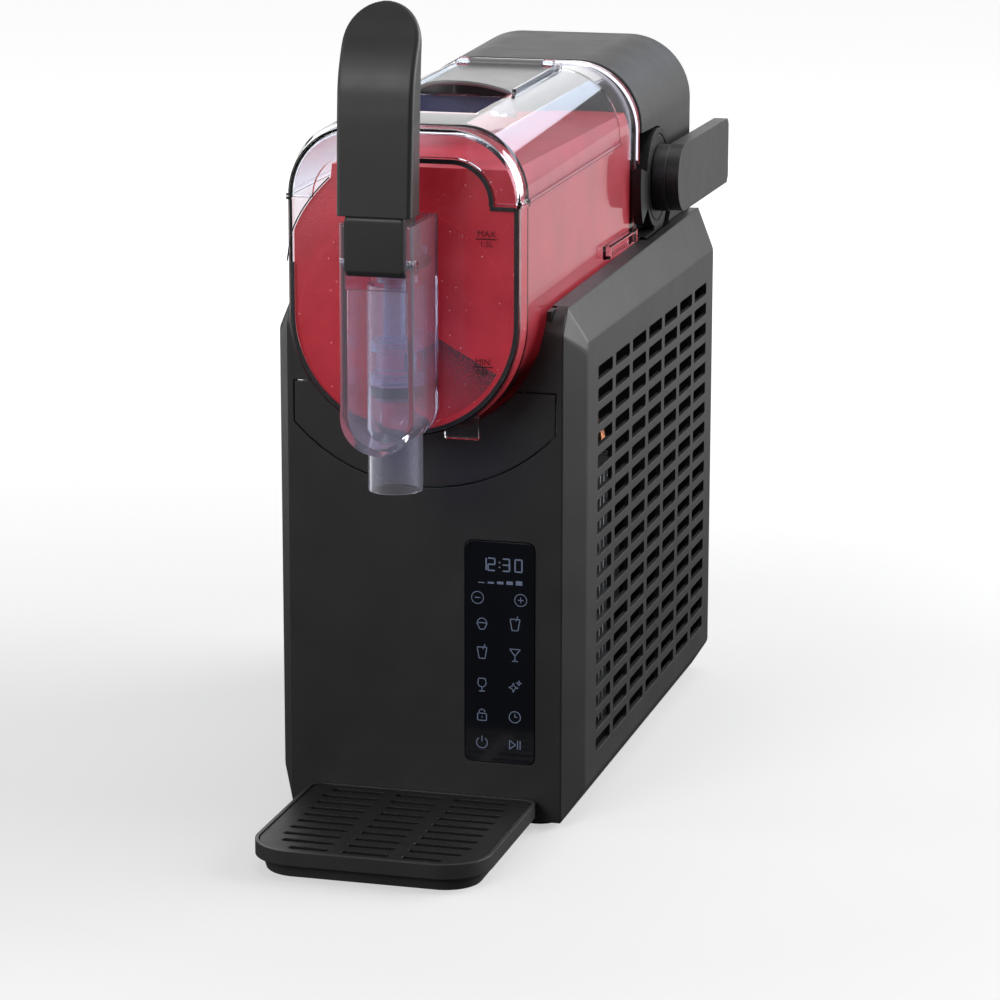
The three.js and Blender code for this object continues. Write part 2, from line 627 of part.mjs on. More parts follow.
const COLLAR_TOP = 374.3;
const PORT = { half: 8, z0: 243, z1: 258 };
function bowlTub() {
  const wallBack = BOWL_FRONT + BOWL_WALL;
  const lower = cut(bowlOuter(LID_BACK + 4), aboveParting(wallBack, 300, 0));
  const shoulders = cut(block(-90, 90, -50, wallBack, partingAt(BOWL_FRONT), 420), arch(0, 300, -60, 0));
  const collarOutline = (half, top, corner) => raised(barrel(half, top - AXIS_Z, corner));
  const collar = prism("y", collarOutline(62, COLLAR_TOP, BOWL_CORNER), LID_BACK + GAP, BOWL_BACK);
  const flangeTop = cut(
    prism("y", collarOutline(64.6, COLLAR_TOP + 1.2, BOWL_CORNER + 1), BOWL_BACK - 3, BOWL_BACK),
    block(-90, 90, 190, 210, 150, 280),
  );
  const flange = join(flangeTop, rod("y", CRADLE_R - GAP, BOWL_BACK - 3, BOWL_BACK, 0, AXIS_Z, 40));
  const frontTab = block(20, 38, BOWL_FRONT + 3.5, BOWL_FRONT + 7.5, 211, 223);
  const sideLug = block(60, 66, 130, 195, 277.5, 285);
  const collarInside = prism(
    "y",
    collarOutline(62 - BOWL_WALL, COLLAR_TOP - BOWL_WALL, BOWL_CORNER - BOWL_WALL),
    FRONT_ROLL,
    BOWL_BACK + 5,
  );
  const shell = join(cut(lower, shoulders), partingRim(-1.4, 0), collar);
  const body = join(shell, cut(flange, hookPath()), frontTab, sideLug);
  const notch = block(HOOK.x0 - 0.4, 80, BOWL_BACK - 4, BOWL_BACK + 4, 262, 320);
  const lugPocket = block(62.5, 70, 137, 188, 279, 283.5);
  const insideFront = loft("y", [bowlRing(wallBack, BOWL_WALL), bowlRing(FRONT_ROLL + 1, BOWL_WALL)]);
  const port = block(-PORT.half, PORT.half, -60, -30, PORT.z0, PORT.z1);
  return cut(body, notch, lugPocket, insideFront, collarInside, port);
}

// The corner at the upper left of the bowl that the slush leaves empty.
const SHOULDER = { x0: -60.5, x1: -38, z0: 298, z1: 341, back: 75 };
function emptyShoulder() {
  const { x0, x1, z0, z1, back } = SHOULDER;
  const edge = [0, 0.1, 0.25, 0.45, 0.7, 1].map((t) => [x0 + (x1 - x0) * t, z0 + (z1 - z0) * Math.sqrt(t)]);
  return prism("y", [...edge, [x1 + 8, 420], [-90, 420], [-90, z0]], -60, back);
}

// The slush fills the bowl round a bore that leaves the auger free; the bore is open to the back.
function slushFill() {
  const rest = BOWL_WALL + GAP;
  const front = BOWL_FRONT + rest;
  const back = BOWL_BACK - 8;
  return cut(
    loft("y", [bowlRing(front, rest), bowlRing(FRONT_ROLL, rest), bowlRing(FRONT_ROLL + 1, rest, back)]),
    block(-90, 90, -60, 260, AXIS_Z + SLUSH_TOP, 420),
    emptyShoulder(),
    rod("y", AUGER_R + 1.5, drumFront - 16.8, back + 5, 0, AXIS_Z, 36),
  );
}

// The flap's underside, and the line of the lid's top under it.
const FLAP = { half: 26.5, y0: 74, y1: 157.5, thick: 2.2, hingeY: 161, hingeZ: 377.6, lug: 20.9 };
const flapBottom = (y) => 371.2 + 0.0405 * (y - FLAP.y0);

// The lid: the upper half of the bowl's section, with a finger scoop, a filling port and lugs for the flap.
function bowlLid() {
  const shell = cut(
    bowlOuter(LID_BACK),
    bowlInner(LID_BACK + 2, BOWL_WALL),
    belowParting(-60, 300, GAP),
    arch(-GAP, 300, -60, BOWL_FRONT + BOWL_WALL + 0.1),
  );
  const scoop = { y0: 6, y1: 72, half: 26, low: 361, wall: 2 };
  const scoopOutline = [
    [scoop.y0 - 1, bowlTop(scoop.y0) - 2],
    [scoop.y1 + scoop.wall, scoop.low - scoop.wall],
    [scoop.y1 + scoop.wall, bowlTop(scoop.y1) - 1],
    [scoop.y0 - 1, bowlTop(scoop.y0) - 1],
  ];
  const scoopBody = prism("x", scoopOutline, -scoop.half - scoop.wall, scoop.half + scoop.wall);
  const above = (y0, z0, y1, z1) => [[y0, z0], [y1, z1], [y1, 390], [y0, 390]];
  const scoopSpace = prism(
    "x",
    above(scoop.y0, bowlTop(scoop.y0), scoop.y1, scoop.low),
    -scoop.half,
    scoop.half,
  );
  const pocketBack = FLAP.hingeY + 3.5;
  const pocket = prism(
    "x",
    above(scoop.y1, flapBottom(scoop.y1) - GAP, pocketBack, flapBottom(pocketBack) - GAP),
    -FLAP.half - GAP,
    FLAP.half + GAP,
  );
  const port = block(-FLAP.half + 2.5, FLAP.half - 2.5, FLAP.y0 + 2, FLAP.y1 - 2, 350, 390);
  const [railFront, railBack, railHigh] = [70, 167, 2.8];
  const railOutline = [
    [railFront, bowlTop(railFront) - 1],
    [railBack, bowlTop(railBack) - 1],
    [railBack, bowlTop(railBack) + railHigh],
    [railFront, bowlTop(railFront) + railHigh],
  ];
  const rail = (x0) => prism("x", railOutline, x0, x0 + 2.2);
  const lug = (x0) => {
    const stem = block(x0, x0 + FLAP.half - FLAP.lug, FLAP.hingeY - 3, FLAP.hingeY + 3, 372.5, FLAP.hingeZ);
    return join(stem, rod("x", 3, x0, x0 + FLAP.half - FLAP.lug, FLAP.hingeY, FLAP.hingeZ, 16));
  };
  const shaped = cut(join(shell, scoopBody), scoopSpace, pocket, port);
  const fittings = [rail(-29.5), rail(27.3), lug(-FLAP.half), lug(FLAP.lug), partingRim(GAP, 1.8)];
  return cut(join(shaped, ...fittings), rod("x", 1.6, -40, 40, FLAP.hingeY, FLAP.hingeZ, 12));
}

// The flap over the filling port. Its front lip rises in an arc for a fingertip.
function fillFlap() {
  const { half, y0, y1, thick, hingeY, hingeZ, lug } = FLAP;
  const stations = 12;
  const rings = [];
  for (let i = 0; i <= stations; i++) {
    const share = Math.abs((2 * i) / stations - 1);
    const tipY = 59 + 14 * share ** 1.45;
    const tipZ = 380 - 6.4 * share ** 2.1;
    const rootZ = flapBottom(y0) + thick;
    const midY = tipY + 0.45 * (y0 - tipY);
    const midZ = rootZ + 0.35 * (tipZ - rootZ);
    const outline = [
      [tipY, tipZ - thick],
      [midY, midZ - thick],
      [y0, rootZ - thick],
      [y1, flapBottom(y1)],
      [y1, flapBottom(y1) + thick],
      [y0, rootZ],
      [midY, midZ],
      [tipY, tipZ],
    ];
    rings.push({ at: -half + (2 * half * i) / stations, outline });
  }
  const web = block(-lug + GAP, lug - GAP, y1 - 1, hingeY, hingeZ - 2.2, hingeZ - 0.4);
  const barrelRod = rod("x", 2.6, -lug + GAP, lug - GAP, hingeY, hingeZ, 16);
  const besideLug = half - lug + 1 + GAP;
  const clearance = [-half - 1, lug - GAP].map((x) => block(x, x + besideLug, y1 - 1.5, y1 + 5, 370, 385));
  const plate = cut(loft("x", rings), ...clearance);
  return cut(join(plate, web, barrelRod), rod("x", 1.6, -40, 40, hingeY, hingeZ, 12));
}

// ---------------------------------------------------------------- tap
const columnOutline = (inset) => [
  ...arc(0, COLUMN_ROUND_Z, COLUMN_HALF - inset, 180, 360, 16),
  [COLUMN_HALF - inset, COLUMN_TOP],
  [-COLUMN_HALF + inset, COLUMN_TOP],
];
const COLUMN_WALL = 3.3;
const COLUMN_FRONT_TOP = 293.5;
const VALVE = { outer: 13.8, bore: 12.2, top: 292 };
function tapColumn() {
  const back = BOWL_FRONT - 1.2;
  const insideHalf = COLUMN_HALF - COLUMN_WALL;
  const insideFront = COLUMN_FRONT + COLUMN_WALL;
  const inner = [...columnOutline(COLUMN_WALL).slice(0, -2), [insideHalf, 400], [-insideHalf, 400]];
  return cut(
    join(
      cut(
        prism("y", columnOutline(0), COLUMN_FRONT, back),
        prism("y", inner, insideFront, back - COLUMN_WALL),
        block(-insideHalf, insideHalf, COLUMN_FRONT - 1, insideFront + 1, COLUMN_FRONT_TOP, 400),
      ),
      rod("z", VALVE.outer, SPOUT_LOW, VALVE.top, 0, VALVE_Y, 28),
    ),
    rod("z", VALVE.bore, SPOUT_LOW - 1, VALVE.top + 1, 0, VALVE_Y, 28),
    block(-PORT.half, PORT.half, VALVE_Y, back + 1, PORT.z0, PORT.z1),
    rod("x", 2.3, -30, 30, PIN_Y, PIN_Z, 16),
  );
}

// The handle: a hub between the column's walls, a tall grip above it and two arms that lift the plunger.
function tapHandle() {
  const seam = 330.2;
  const side = [
    [-68.9, seam],
    [-68.6, 361],
    [-66.3, 405],
    [-64.4, 419],
    [-58.8, HANDLE_TOP],
    [-61.4, HANDLE_TOP],
    [-71.3, 415],
    [-76.5, 406],
    [-81.7, 392],
    [-83.8, 363],
    [-85.5, seam],
  ];
  const half = 19.6;
  const front = [[-19, seam], [19, seam], ...arc(0, HANDLE_TOP - half, half, 0, 180, 18)];
  const grip = prism("x", side, -half, half).intersect(prism("y", front, -100, -40));
  const hub = prism("x", rounded(-84.8, -64, 300.4, seam + 1, 3.5), -15, 15);
  const arms = [-14.8, 10].map((x) => block(x, x + 4.8, -66, -44, 301.5, 306.4));
  return cut(join(grip, hub, ...arms), rod("x", 2.4, -30, 30, PIN_Y, PIN_Z, 16));
}

function tapPlunger() {
  const at = (r, low, high, sides = 24) => rod("z", r, low, high, 0, VALVE_Y, sides);
  return join(
    at(9, 234, 236, 20),
    at(6, 235, 243, 16),
    at(11.8, 242, 247.5),
    at(8.5, 247, 260),
    at(11.8, 259, 264),
    at(5.5, 263, 294, 16),
    at(9, 293.2, 300, 20),
    block(-5, 5, VALVE_Y - 2, VALVE_Y + 2, 299, 309.4),
    rod("x", 2.5, -14, 14, VALVE_Y, 309.4, 14),
  );
}

const bowl = group(machine);
add(bowl, "bowl_tub", bowlTub(), clearBlue());
add(bowl, "slush_fill", slushFill(), clear(0xd23a4a));
add(bowl, "tap_column", tapColumn(), clearBlue());
add(bowl, "handle_pin", rod("x", 2, -18.6, 18.6, PIN_Y, PIN_Z, 14), steel());
const lid = group(bowl);
add(lid, "bowl_lid", bowlLid(), clearBlue());
add(lid, "flap_hinge_pin", rod("x", 1.3, -26.3, 26.3, FLAP.hingeY, FLAP.hingeZ, 10), steel());
add(lid, "fill_flap", fillFlap(), clear(0xc9ccd2));
const tap = group(bowl);
add(tap, "tap_handle", tapHandle(), charcoal());
add(tap, "tap_plunger", tapPlunger(), clear(0x9fb3e0));
add(tap, "plunger_seal", tube("z", 11.8, 6.3, 236.4, 241.6, 0, VALVE_Y, 24), rubber());

// ---------------------------------------------------------------- bowl seat and lock
const gasketRing = (half, top, corner, y0, y1) =>
  prism("y", raised(barrel(half, top - AXIS_Z, corner)), y0, y1);
const gasketY = BOWL_BACK + 0.5;
const gasket = cut(
  gasketRing(61.6, COLLAR_TOP - 0.4, BOWL_CORNER - 1, gasketY, HOOD_FRONT - 0.7),
  gasketRing(57.6, COLLAR_TOP - 4.4, BOWL_CORNER - 5, gasketY - 1, HOOD_FRONT),
);
add(housing, "bowl_gasket", gasket, rubber());

function lockPivot() {
  const bracket = block(50, 53, 212, 264, 278, 334);
  const foot = block(50, 57, 212, 264, 278, 280);
  return join(bracket, foot, rod("x", 4, 52, 74, LOCK_Y, LOCK_Z, 16));
}
add(housing, "lock_pivot", lockPivot(), steel());

// The cam's hook reaches forward round the bowl's rear flange.
function lockCam() {
  const disc = rod("x", LOCK_R, 57.5, HOOK.x1, LOCK_Y, LOCK_Z, 40);
  const turn = (r, from, to) => arc(LOCK_Y, LOCK_Z, r, from, to, 8);
  const web = [...turn(HOOK.outer, HOOK.from, HOOK.to), ...turn(LOCK_R - 3, HOOK.to, HOOK.from)];
  const lip = [...turn(HOOK.outer, HOOK.from, HOOK.to), ...turn(HOOK.inner, HOOK.to, HOOK.from)];
  return cut(
    join(disc, prism("x", web, HOOK.x1 - HOOK.web, HOOK.x1), prism("x", lip, HOOK.x0, HOOK.x1)),
    rod("x", 4.4, 50, 80, LOCK_Y, LOCK_Z, 16),
  );
}

function lockLever() {
  const bar = 18.85;
  const paddle = [
    ...arc(LOCK_Y + 2.4, LOCK_Z + 0.3, bar, 90, 270, 16),
    ...arc(LOCK_END - 3, LOCK_Z + 0.3 - bar + 3, 3, 270, 360, 3),
    ...arc(LOCK_END - 3, LOCK_Z + 0.3 + bar - 3, 3, 0, 90, 3),
  ];
  return cut(
    join(
      rod("x", 18.7, HOOK.x1 + GAP, 75, LOCK_Y, LOCK_Z, 32),
      prism("x", paddle, 74.3, HALF_WIDTH),
    ),
    rod("x", 4.4, 50, 75.5, LOCK_Y, LOCK_Z, 16),
  );
}
const lock = group(machine);
add(lock, "lock_cam", lockCam(), black());
add(lock, "lock_lever", lockLever(), charcoal());

// ---------------------------------------------------------------- trays
const trayOutline = (inset) => {
  const [x, y0, y1] = [TRAY_HALF - inset, TRAY_FRONT + inset, -0.5 - inset];
  const [front, back] = [24 - inset, Math.max(8 - inset, 1)];
  return [
    ...arc(-x + front, y0 + front, front, 180, 270, 6),
    ...arc(x - front, y0 + front, front, 270, 360, 6),
    ...arc(x - back, y1 - back, back, 0, 90, 3),
    ...arc(-x + back, y1 - back, back, 90, 180, 3),
  ];
};
const BAND_LOW = 7.4; // underside of the tray's wider upper band
function dripTray() {
  const tongue = (x) => block(x - TONGUE.half + 1, x + TONGUE.half - 1, -4, 5, 5.4, 8.2);
  const body = join(
    loft("z", [{ at: 0, outline: trayOutline(5.5) }, { at: BAND_LOW + 0.5, outline: trayOutline(3.4) }]),
    prism("z", trayOutline(0), BAND_LOW, TRAY_HEIGHT),
  );
  const basin = cut(body, prism("z", trayOutline(7.6), 2, 20), prism("z", trayOutline(1.9), 11, 20));
  return join(basin, tongue(-TONGUE.x), tongue(TONGUE.x));
}

function dripGrille() {
  const pitch = 10.6;
  const slotHalf = 2.2;
  const shorter = { 1: 47, 9: 47, 10: 40 }; // the rows that end at the tray's round corners
  const slots = [];
  for (let row = 1; row <= 10; row++) {
    const y = -pitch * row;
    const reach = shorter[row] ?? 49.5;
    for (const [x0, x1] of [[-reach, -19], [-12.5, 12.5], [19, reach]]) {
      slots.push(block(x0, x1, y - slotHalf, y + slotHalf, 5, 20));
    }
  }
  return cut(prism("z", trayOutline(2.4), 11.4, 14.5), join(...slots));
}
const tray = group(machine);
add(tray, "drip_tray", dripTray(), charcoal());
add(tray, "drip_grille", dripGrille(), black());

// The condensation tray: its front closes the gap under the bowl, its box catches what the trough drains.
function condensationTray() {
  const front = cut(
    prism("y", smile(PANEL_OUTER_R - 0.8, PANEL_HALF - 0.8, PANEL_TOP - 0.8), 0, SKIN),
    rod("y", CRADLE_R + 0.6, -5, 20, 0, AXIS_Z, 40),
  );
  const round = (inset) => rod("y", PANEL_OUTER_R - 2 - inset, 0, 160, 0, AXIS_Z, 48);
  const box = cut(
    block(-45, 45, 1, 150, 160, 203).intersect(round(0)),
    block(-43, 43, SKIN + 1, 148, 160, 210).intersect(round(2)),
  );
  return join(front, cut(box, rod("y", CRADLE_R + TROUGH_WALL + GAP, -5, 160, 0, AXIS_Z, 40)));
}
add(group(machine), "condensation_tray", condensationTray(), charcoal());

// ---------------------------------------------------------------- cooling machinery in the housing
const COMPRESSOR = { x: -6, y: 226 };
function compressor() {
  const { x, y } = COMPRESSOR;
  const disc = (r, at) => ({ at, outline: circle(x, y, r, 24) });
  const dome = [disc(41, 144), disc(30, 155), disc(18, 160)];
  const shell = loft("z", [disc(40, 24), disc(46, 32), disc(46, 128), ...dome]);
  const plate = block(x - 40, x + 40, y - 36, y + 36, 21, 24.5);
  return join(shell, plate, block(x + 30, x + 52, y - 16, y + 16, 60, 96));
}

function compressorBracket() {
  const { x, y } = COMPRESSOR;
  const posts = [[-34, -30], [34, -30], [-34, 30], [34, 30]];
  return join(
    block(x - 42, x + 42, y - 40, y + 40, 8.4, 10.4),
    ...posts.map(([dx, dy]) => rod("z", 7, 10, 20.6, x + dx, y + dy, 12)),
  );
}

const FAN = { y: 88, z: 97, r: 47, hub: 18, shaft: 3.6 };
function condenser() {
  const fins = [];
  for (let y = 31; y < 146; y += 8) fins.push(block(45, 66, y, y + 2, 24, 170));
  return join(block(53, 58, 31, 146, 24, 170), ...fins);
}

function fanShroud() {
  const [x0, x1] = [30, 32.5]; // of the arms and the hub
  const frame = cut(block(x0, 43.8, 31, 145, 34, 160), rod("x", FAN.r + 3, 20, 50, FAN.y, FAN.z, 32));
  const across = block(x0, x1, 31, 145, FAN.z - 4, FAN.z + 4);
  const upright = block(x0, x1, FAN.y - 4, FAN.y + 4, 34, 160);
  const hub = rod("x", FAN.hub, x0, x1, FAN.y, FAN.z, 20);
  return cut(join(frame, across, upright, hub), rod("x", FAN.shaft, 20, 40, FAN.y, FAN.z, 12));
}

const fanMotor = () =>
  cut(rod("x", FAN.hub, 12, 29.6, FAN.y, FAN.z, 20), rod("x", FAN.shaft, 20, 32, FAN.y, FAN.z, 12));

function fanBlades() {
  const blades = [];
  for (let k = 0; k < 5; k++) {
    const blade = new THREE.BoxGeometry(1.8, 17, FAN.r - 10).rotateZ(0.4);
    blades.push(solid(blade.translate(38, 0, (FAN.r + 10) / 2).rotateX((2 * Math.PI * k) / 5)));
  }
  return join(rod("x", 14, 34, 42, 0, 0, 20), rod("x", 2.6, 22, 35, 0, 0, 12), ...blades);
}

function mainBoard() {
  const relays = [[160, 80, 18], [188, 80, 18], [230, 70, 30], [170, 140, 24], [240, 140, 16]];
  const parts = relays.map(([y, z, size]) => block(-68.5, -60, y, y + size, z, z + size));
  return join(block(-70, -68.4, 150, 300, 60, 190), ...parts);
}

const dischargePath = [[4, 226, 161.4], [6, 224, 178], [30, 190, 188], [54, 160, 176], [55, 149, 160]];
const suctionPath = [[-14, 224, 161.4], [-16, 220, 185], [-20, 219.5, 225], [-14, 219.5, 262]];
const liquidPath = [
  ...[[55, 149, 40], [50, 160, 26], [0, 166, 20]],
  ...[[-50, 164, 20], [-60, 170, 23], [-61, 179.5, 24]],
];

add(housing, "compressor", compressor(), black());
add(housing, "compressor_bracket", compressorBracket(), steel());
add(housing, "condenser", condenser(), paint(0x8f9498, 0.4, 1));
add(housing, "fan_shroud", fanShroud(), black());
add(housing, "fan_motor", fanMotor(), steel());
add(group(machine, 0, FAN.y, FAN.z), "fan_blades", fanBlades(), black());
add(housing, "filter_drier", rod("y", 8, 180, 240, -61, 24, 16), copper());
add(housing, "discharge_pipe", pipe(dischargePath, 3, 8, 16), copper());
add(housing, "suction_pipe", pipe(suctionPath, 3.4, 8, 12), copper());
add(housing, "liquid_pipe", pipe(liquidPath, 2.4, 6, 18), copper());
add(housing, "main_board", mainBoard(), circuitGreen());

// The group is shifted so that the origin is the bottom centre of the bounding box.
machine.position.set(0, -(TRAY_FRONT + LOCK_END) / 2, 0);
export default machine;
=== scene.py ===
from math import cos, radians, sin, sqrt

import bmesh
import bpy
from mathutils import Matrix, Vector


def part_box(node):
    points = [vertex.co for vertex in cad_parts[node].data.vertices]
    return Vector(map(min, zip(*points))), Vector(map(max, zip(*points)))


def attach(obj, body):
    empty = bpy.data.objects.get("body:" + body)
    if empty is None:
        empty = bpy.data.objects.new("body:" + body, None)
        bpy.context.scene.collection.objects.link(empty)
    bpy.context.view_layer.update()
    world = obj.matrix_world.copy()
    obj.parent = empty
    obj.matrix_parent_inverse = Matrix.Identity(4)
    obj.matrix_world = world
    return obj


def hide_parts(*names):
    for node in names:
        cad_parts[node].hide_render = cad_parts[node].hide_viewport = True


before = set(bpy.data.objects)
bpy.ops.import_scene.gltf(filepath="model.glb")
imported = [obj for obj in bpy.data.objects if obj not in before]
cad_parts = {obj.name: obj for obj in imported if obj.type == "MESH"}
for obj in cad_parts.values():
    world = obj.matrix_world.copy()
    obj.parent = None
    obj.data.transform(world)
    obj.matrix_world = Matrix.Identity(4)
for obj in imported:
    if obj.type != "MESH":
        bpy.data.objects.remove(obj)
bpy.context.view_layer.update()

# A counter-top slush machine. Lengths are in millimetres in the machine's own frame, whose Y = 0 is the
# plane of the front fascia, and at() turns them into metres in the shared frame.
MM = 0.001
FASCIA_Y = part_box("front_fascia")[0].y
SCENE = bpy.context.scene

# ---------------- driving dimensions
AXIS_Z = 272.0  # axis of the bowl's round bottom, the drum and the auger
BOWL_FRONT, BOWL_BACK, LID_BACK = -35.5, 203.0, 168.0
BOWL_WALL, BOWL_CORNER, FRONT_ROLL = 2.5, 36.0, -25.0
COLLAR_TOP = 374.3
ARCH_HALF, ARCH_TOP, ARCH_R = 47.0, 353.0, 22.0
GAP = 0.4
CRADLE_R = 64.0
HANDLE_TOP = 432.0
COLUMN_FRONT, COLUMN_HALF, COLUMN_WALL = -81.7, 18.8, 3.3
COLUMN_ROUND_Z, COLUMN_TOP, COLUMN_FRONT_TOP = 230.0, 326.0, 293.5
VALVE_Y, SPOUT_LOW = -50.0, 188.0
PIN_Y, PIN_Z = -74.4, 306.1
LOCK_Y, LOCK_Z, LOCK_R, LOCK_END, LOCK_BORE = 238.0, 307.5, 27.8, 358.0, 4.4
HOOK_IN, HOOK_OUT, HOOK_X0, HOOK_X1, HOOK_WEB = 38.4, 42.5, 62.4, 67.4, 1.6
HOOK_FROM, HOOK_TO = 166.0, 210.0
HOOD_FRONT, BODY_DEPTH, SKIN = 207.0, 320.0, 2.5
DECK_FRONT, DECK_BACK = 273.0, 279.0
FASCIA_HALF, HALF_WIDTH, HOUSING_LOW = 73.0, 82.5, 3.0
FACE_LOW, FACE_HIGH, FACE_FRONT = 17.8, 255.0, 16.0
# the bowl's upper left corner, which the slush leaves empty
SHOULDER_X0, SHOULDER_X1, SHOULDER_Z0, SHOULDER_Z1, SHOULDER_Y = -60.5, -38.0, 298.0, 341.0, 75.0
PORT_HALF, PORT_LOW, PORT_HIGH = 8.0, 243.0, 258.0  # the way from the bowl into the tap
FLANGE_HALF, FLANGE_THICK, COLLAR_HALF = 64.6, 3.0, 62.0
SLUSH_BORE, SLUSH_TOP = 54.5, AXIS_Z + 76
FAR, HIGH = 90, 420  # beyond the machine's side and top, for shapes that cut
FLAP_SHADE_LOW = 371.5
RIM_BEND, RIM_LEAN, FACE_STEP = 260.0, 9.0, 6.0  # the rim follows the fascia's rolled top edge
TRAY_HALF, TRAY_FRONT, TRAY_HEIGHT, BAND_LOW = 61.5, -114.5, 15.0, 7.4


def at(x, y, z):
    return Vector((x * MM, FASCIA_Y + y * MM, z * MM))


# ---------------- camera, floor and light
EYE, TARGET = Vector((0.5230, -1.8947, 0.6052)), Vector((0.0032, 0.0151, 0.1402))
LENS, SENSOR, ROLL = 132.99, 36, 0.08  # two lengths in millimetres and an angle in degrees
FLOOR_HALF, VIEW_END = 6.0, 20
LIT_POINT = (0, 0, 0.22)
WHITE = (1, 1, 1, 1)


def added(name, data):
    """A new object in the scene that holds the given data."""
    made = bpy.data.objects.new(name, data)
    SCENE.collection.objects.link(made)
    return made


def make_camera():
    data = bpy.data.cameras.new("camera")
    data.sensor_width, data.lens, data.clip_end = SENSOR, LENS, VIEW_END
    camera = added("camera", data)
    look = (TARGET - EYE).to_track_quat("-Z", "Y")
    roll = Matrix.Rotation(radians(ROLL), 4, "Z")
    camera.matrix_world = Matrix.Translation(EYE) @ look.to_matrix().to_4x4() @ roll
    SCENE.camera = camera


def combined(nt, operation, first, second):
    """The result of a sum on two values, of which the second may be a plain number."""
    made = node(nt, "ShaderNodeMath", operation=operation)
    nt.links.new(first, made.inputs[0])
    if isinstance(second, float):
        made.inputs[1].default_value = second
    else:
        nt.links.new(second, made.inputs[1])
    return made.outputs[0]


def mix_shaders(nt, factor, first, second, output):
    """Sends the first shader to the output node, and the second where factor is 1."""
    mix = nt.nodes.new("ShaderNodeMixShader")
    for source, socket in zip((factor, first.outputs[0], second.outputs[0]), mix.inputs):
        nt.links.new(source, socket)
    nt.links.new(mix.outputs[0], nt.nodes[output].inputs["Surface"])


def seen_directly(nt, share):
    """1 for rays from the camera and share for those that pass through clear plastic, 0 for all others."""
    path = nt.nodes.new("ShaderNodeLightPath")
    through = combined(nt, "MULTIPLY", path.outputs["Is Transmission Ray"], share)
    return combined(nt, "MAXIMUM", path.outputs["Is Camera Ray"], through)


def make_floor():
    """White paper. Its sweep is lit behind the machine and falls dark in front, as reflections see it."""
    mesh = bpy.data.meshes.new("floor")
    r = FLOOR_HALF
    mesh.from_pydata([(-r, -r, 0), (r, -r, 0), (r, r, 0), (-r, r, 0)], [], [(0, 1, 2, 3)])
    floor = added("floor", mesh)
    mat, nt, shader = new_material("floor_paper")
    fill(shader, {"Base Color": (0.4, 0.4, 0.405, 1), "Roughness": 0.85, "Specular IOR Level": 0.1,
                  "Emission Color": WHITE})
    place = place_of(nt)
    # For the camera the paper also glows, less near the machine, where its shadow falls, and more further
    # out: painted light.
    reach = node(nt, "ShaderNodeVectorMath", operation="LENGTH")
    nt.links.new(place, reach.inputs[0])
    nt.links.new(ramp(nt, reach.outputs["Value"], 0.35, 1.6, 0.5, 0.9), shader.inputs["Emission Strength"])
    x, y, _ = apart(nt, place)
    lit = nt.nodes.new("ShaderNodeEmission")
    strength = combined(nt, "MAXIMUM", ramp(nt, y, 0.35, 1.4, 0.05, 0.42), ramp(nt, x, -1.0, -0.5, 0.8, 0.05))
    nt.links.new(strength, lit.inputs["Strength"])
    behind = combined(nt, "MULTIPLY", ramp(nt, y, 0.15, 0.4, 0.0, 1.0), ramp(nt, x, 0.05, 0.25, 1.0, 0.0))
    bright = combined(nt, "MAXIMUM", behind, ramp(nt, x, -0.85, -0.6, 1.0, 0.0))
    mix_shaders(nt, seen_directly(nt, bright), lit, shader, "Material Output")
    floor.data.materials.append(mat)


def softbox(name, place, width, height, power, colour=(1, 1, 1)):
    data = bpy.data.lights.new(name, "AREA")
    data.shape = "RECTANGLE"
    data.size, data.size_y = width, height
    data.energy, data.color = power, colour
    light = added(name, data)
    light.location = place
    light.rotation_euler = (Vector(LIT_POINT) - Vector(place)).to_track_quat("-Z", "Y").to_euler()


def make_lights():
    softbox("side_box", (1.75, 0.95, 0.95), 2.0, 1.6, 58)
    softbox("top_box", (0.1, 0.3, 2.1), 1.7, 1.3, 12)
    softbox("left_box", (-1.9, -0.5, 0.9), 0.7, 1.5, 8)
    softbox("front_box", (-0.85, -2.2, 1.3), 1.4, 1.0, 24)
    softbox("back_box", (-0.75, 2.3, 0.85), 1.8, 1.0, 8)
    softbox("back_right_box", (0.75, 2.4, 1.25), 1.3, 0.4, 3.5, (0.78, 0.86, 1.0))
    world = bpy.data.worlds.new("studio")
    world.use_nodes = True
    nt = world.node_tree
    dim, white = nt.nodes["Background"], nt.nodes.new("ShaderNodeBackground")
    fill(dim, {"Color": WHITE, "Strength": 0.12})
    fill(white, {"Color": WHITE, "Strength": 1.05})
    mix_shaders(nt, seen_directly(nt, 0.4), dim, white, "World Output")
    SCENE.world = world
    SCENE.view_settings.view_transform = "Standard"


# ---------------- material kit
def new_material(name):
    mat = bpy.data.materials.new(name)
    mat.use_nodes = True
    nt = mat.node_tree
    return mat, nt, nt.nodes["Principled BSDF"]


def node(nt, kind, **values):
    made = nt.nodes.new(kind)
    for key, value in values.items():
        if key in made.inputs:
            made.inputs[key].default_value = value
        else:
            setattr(made, key, value)
    return made


def fill(made, values):
    """Sets the inputs of a node by name."""
    for key, value in values.items():
        made.inputs[key].default_value = value


def place_of(nt, stretch=(1, 1, 1)):
    """Object coordinates, in metres, stretched along each axis."""
    coords = nt.nodes.new("ShaderNodeTexCoord")
    mapping = node(nt, "ShaderNodeMapping", Scale=stretch)
    nt.links.new(coords.outputs["Object"], mapping.inputs["Vector"])
    return mapping.outputs["Vector"]


def apart(nt, place):
    """A place's three coordinates."""
    parts = nt.nodes.new("ShaderNodeSeparateXYZ")
    nt.links.new(place, parts.inputs[0])
    return parts.outputs


def noise(nt, scale, detail=3.0, stretch=(1, 1, 1)):
    made = node(nt, "ShaderNodeTexNoise", Scale=scale, Detail=detail)
    nt.links.new(place_of(nt, stretch), made.inputs["Vector"])
    return made.outputs["Fac"]


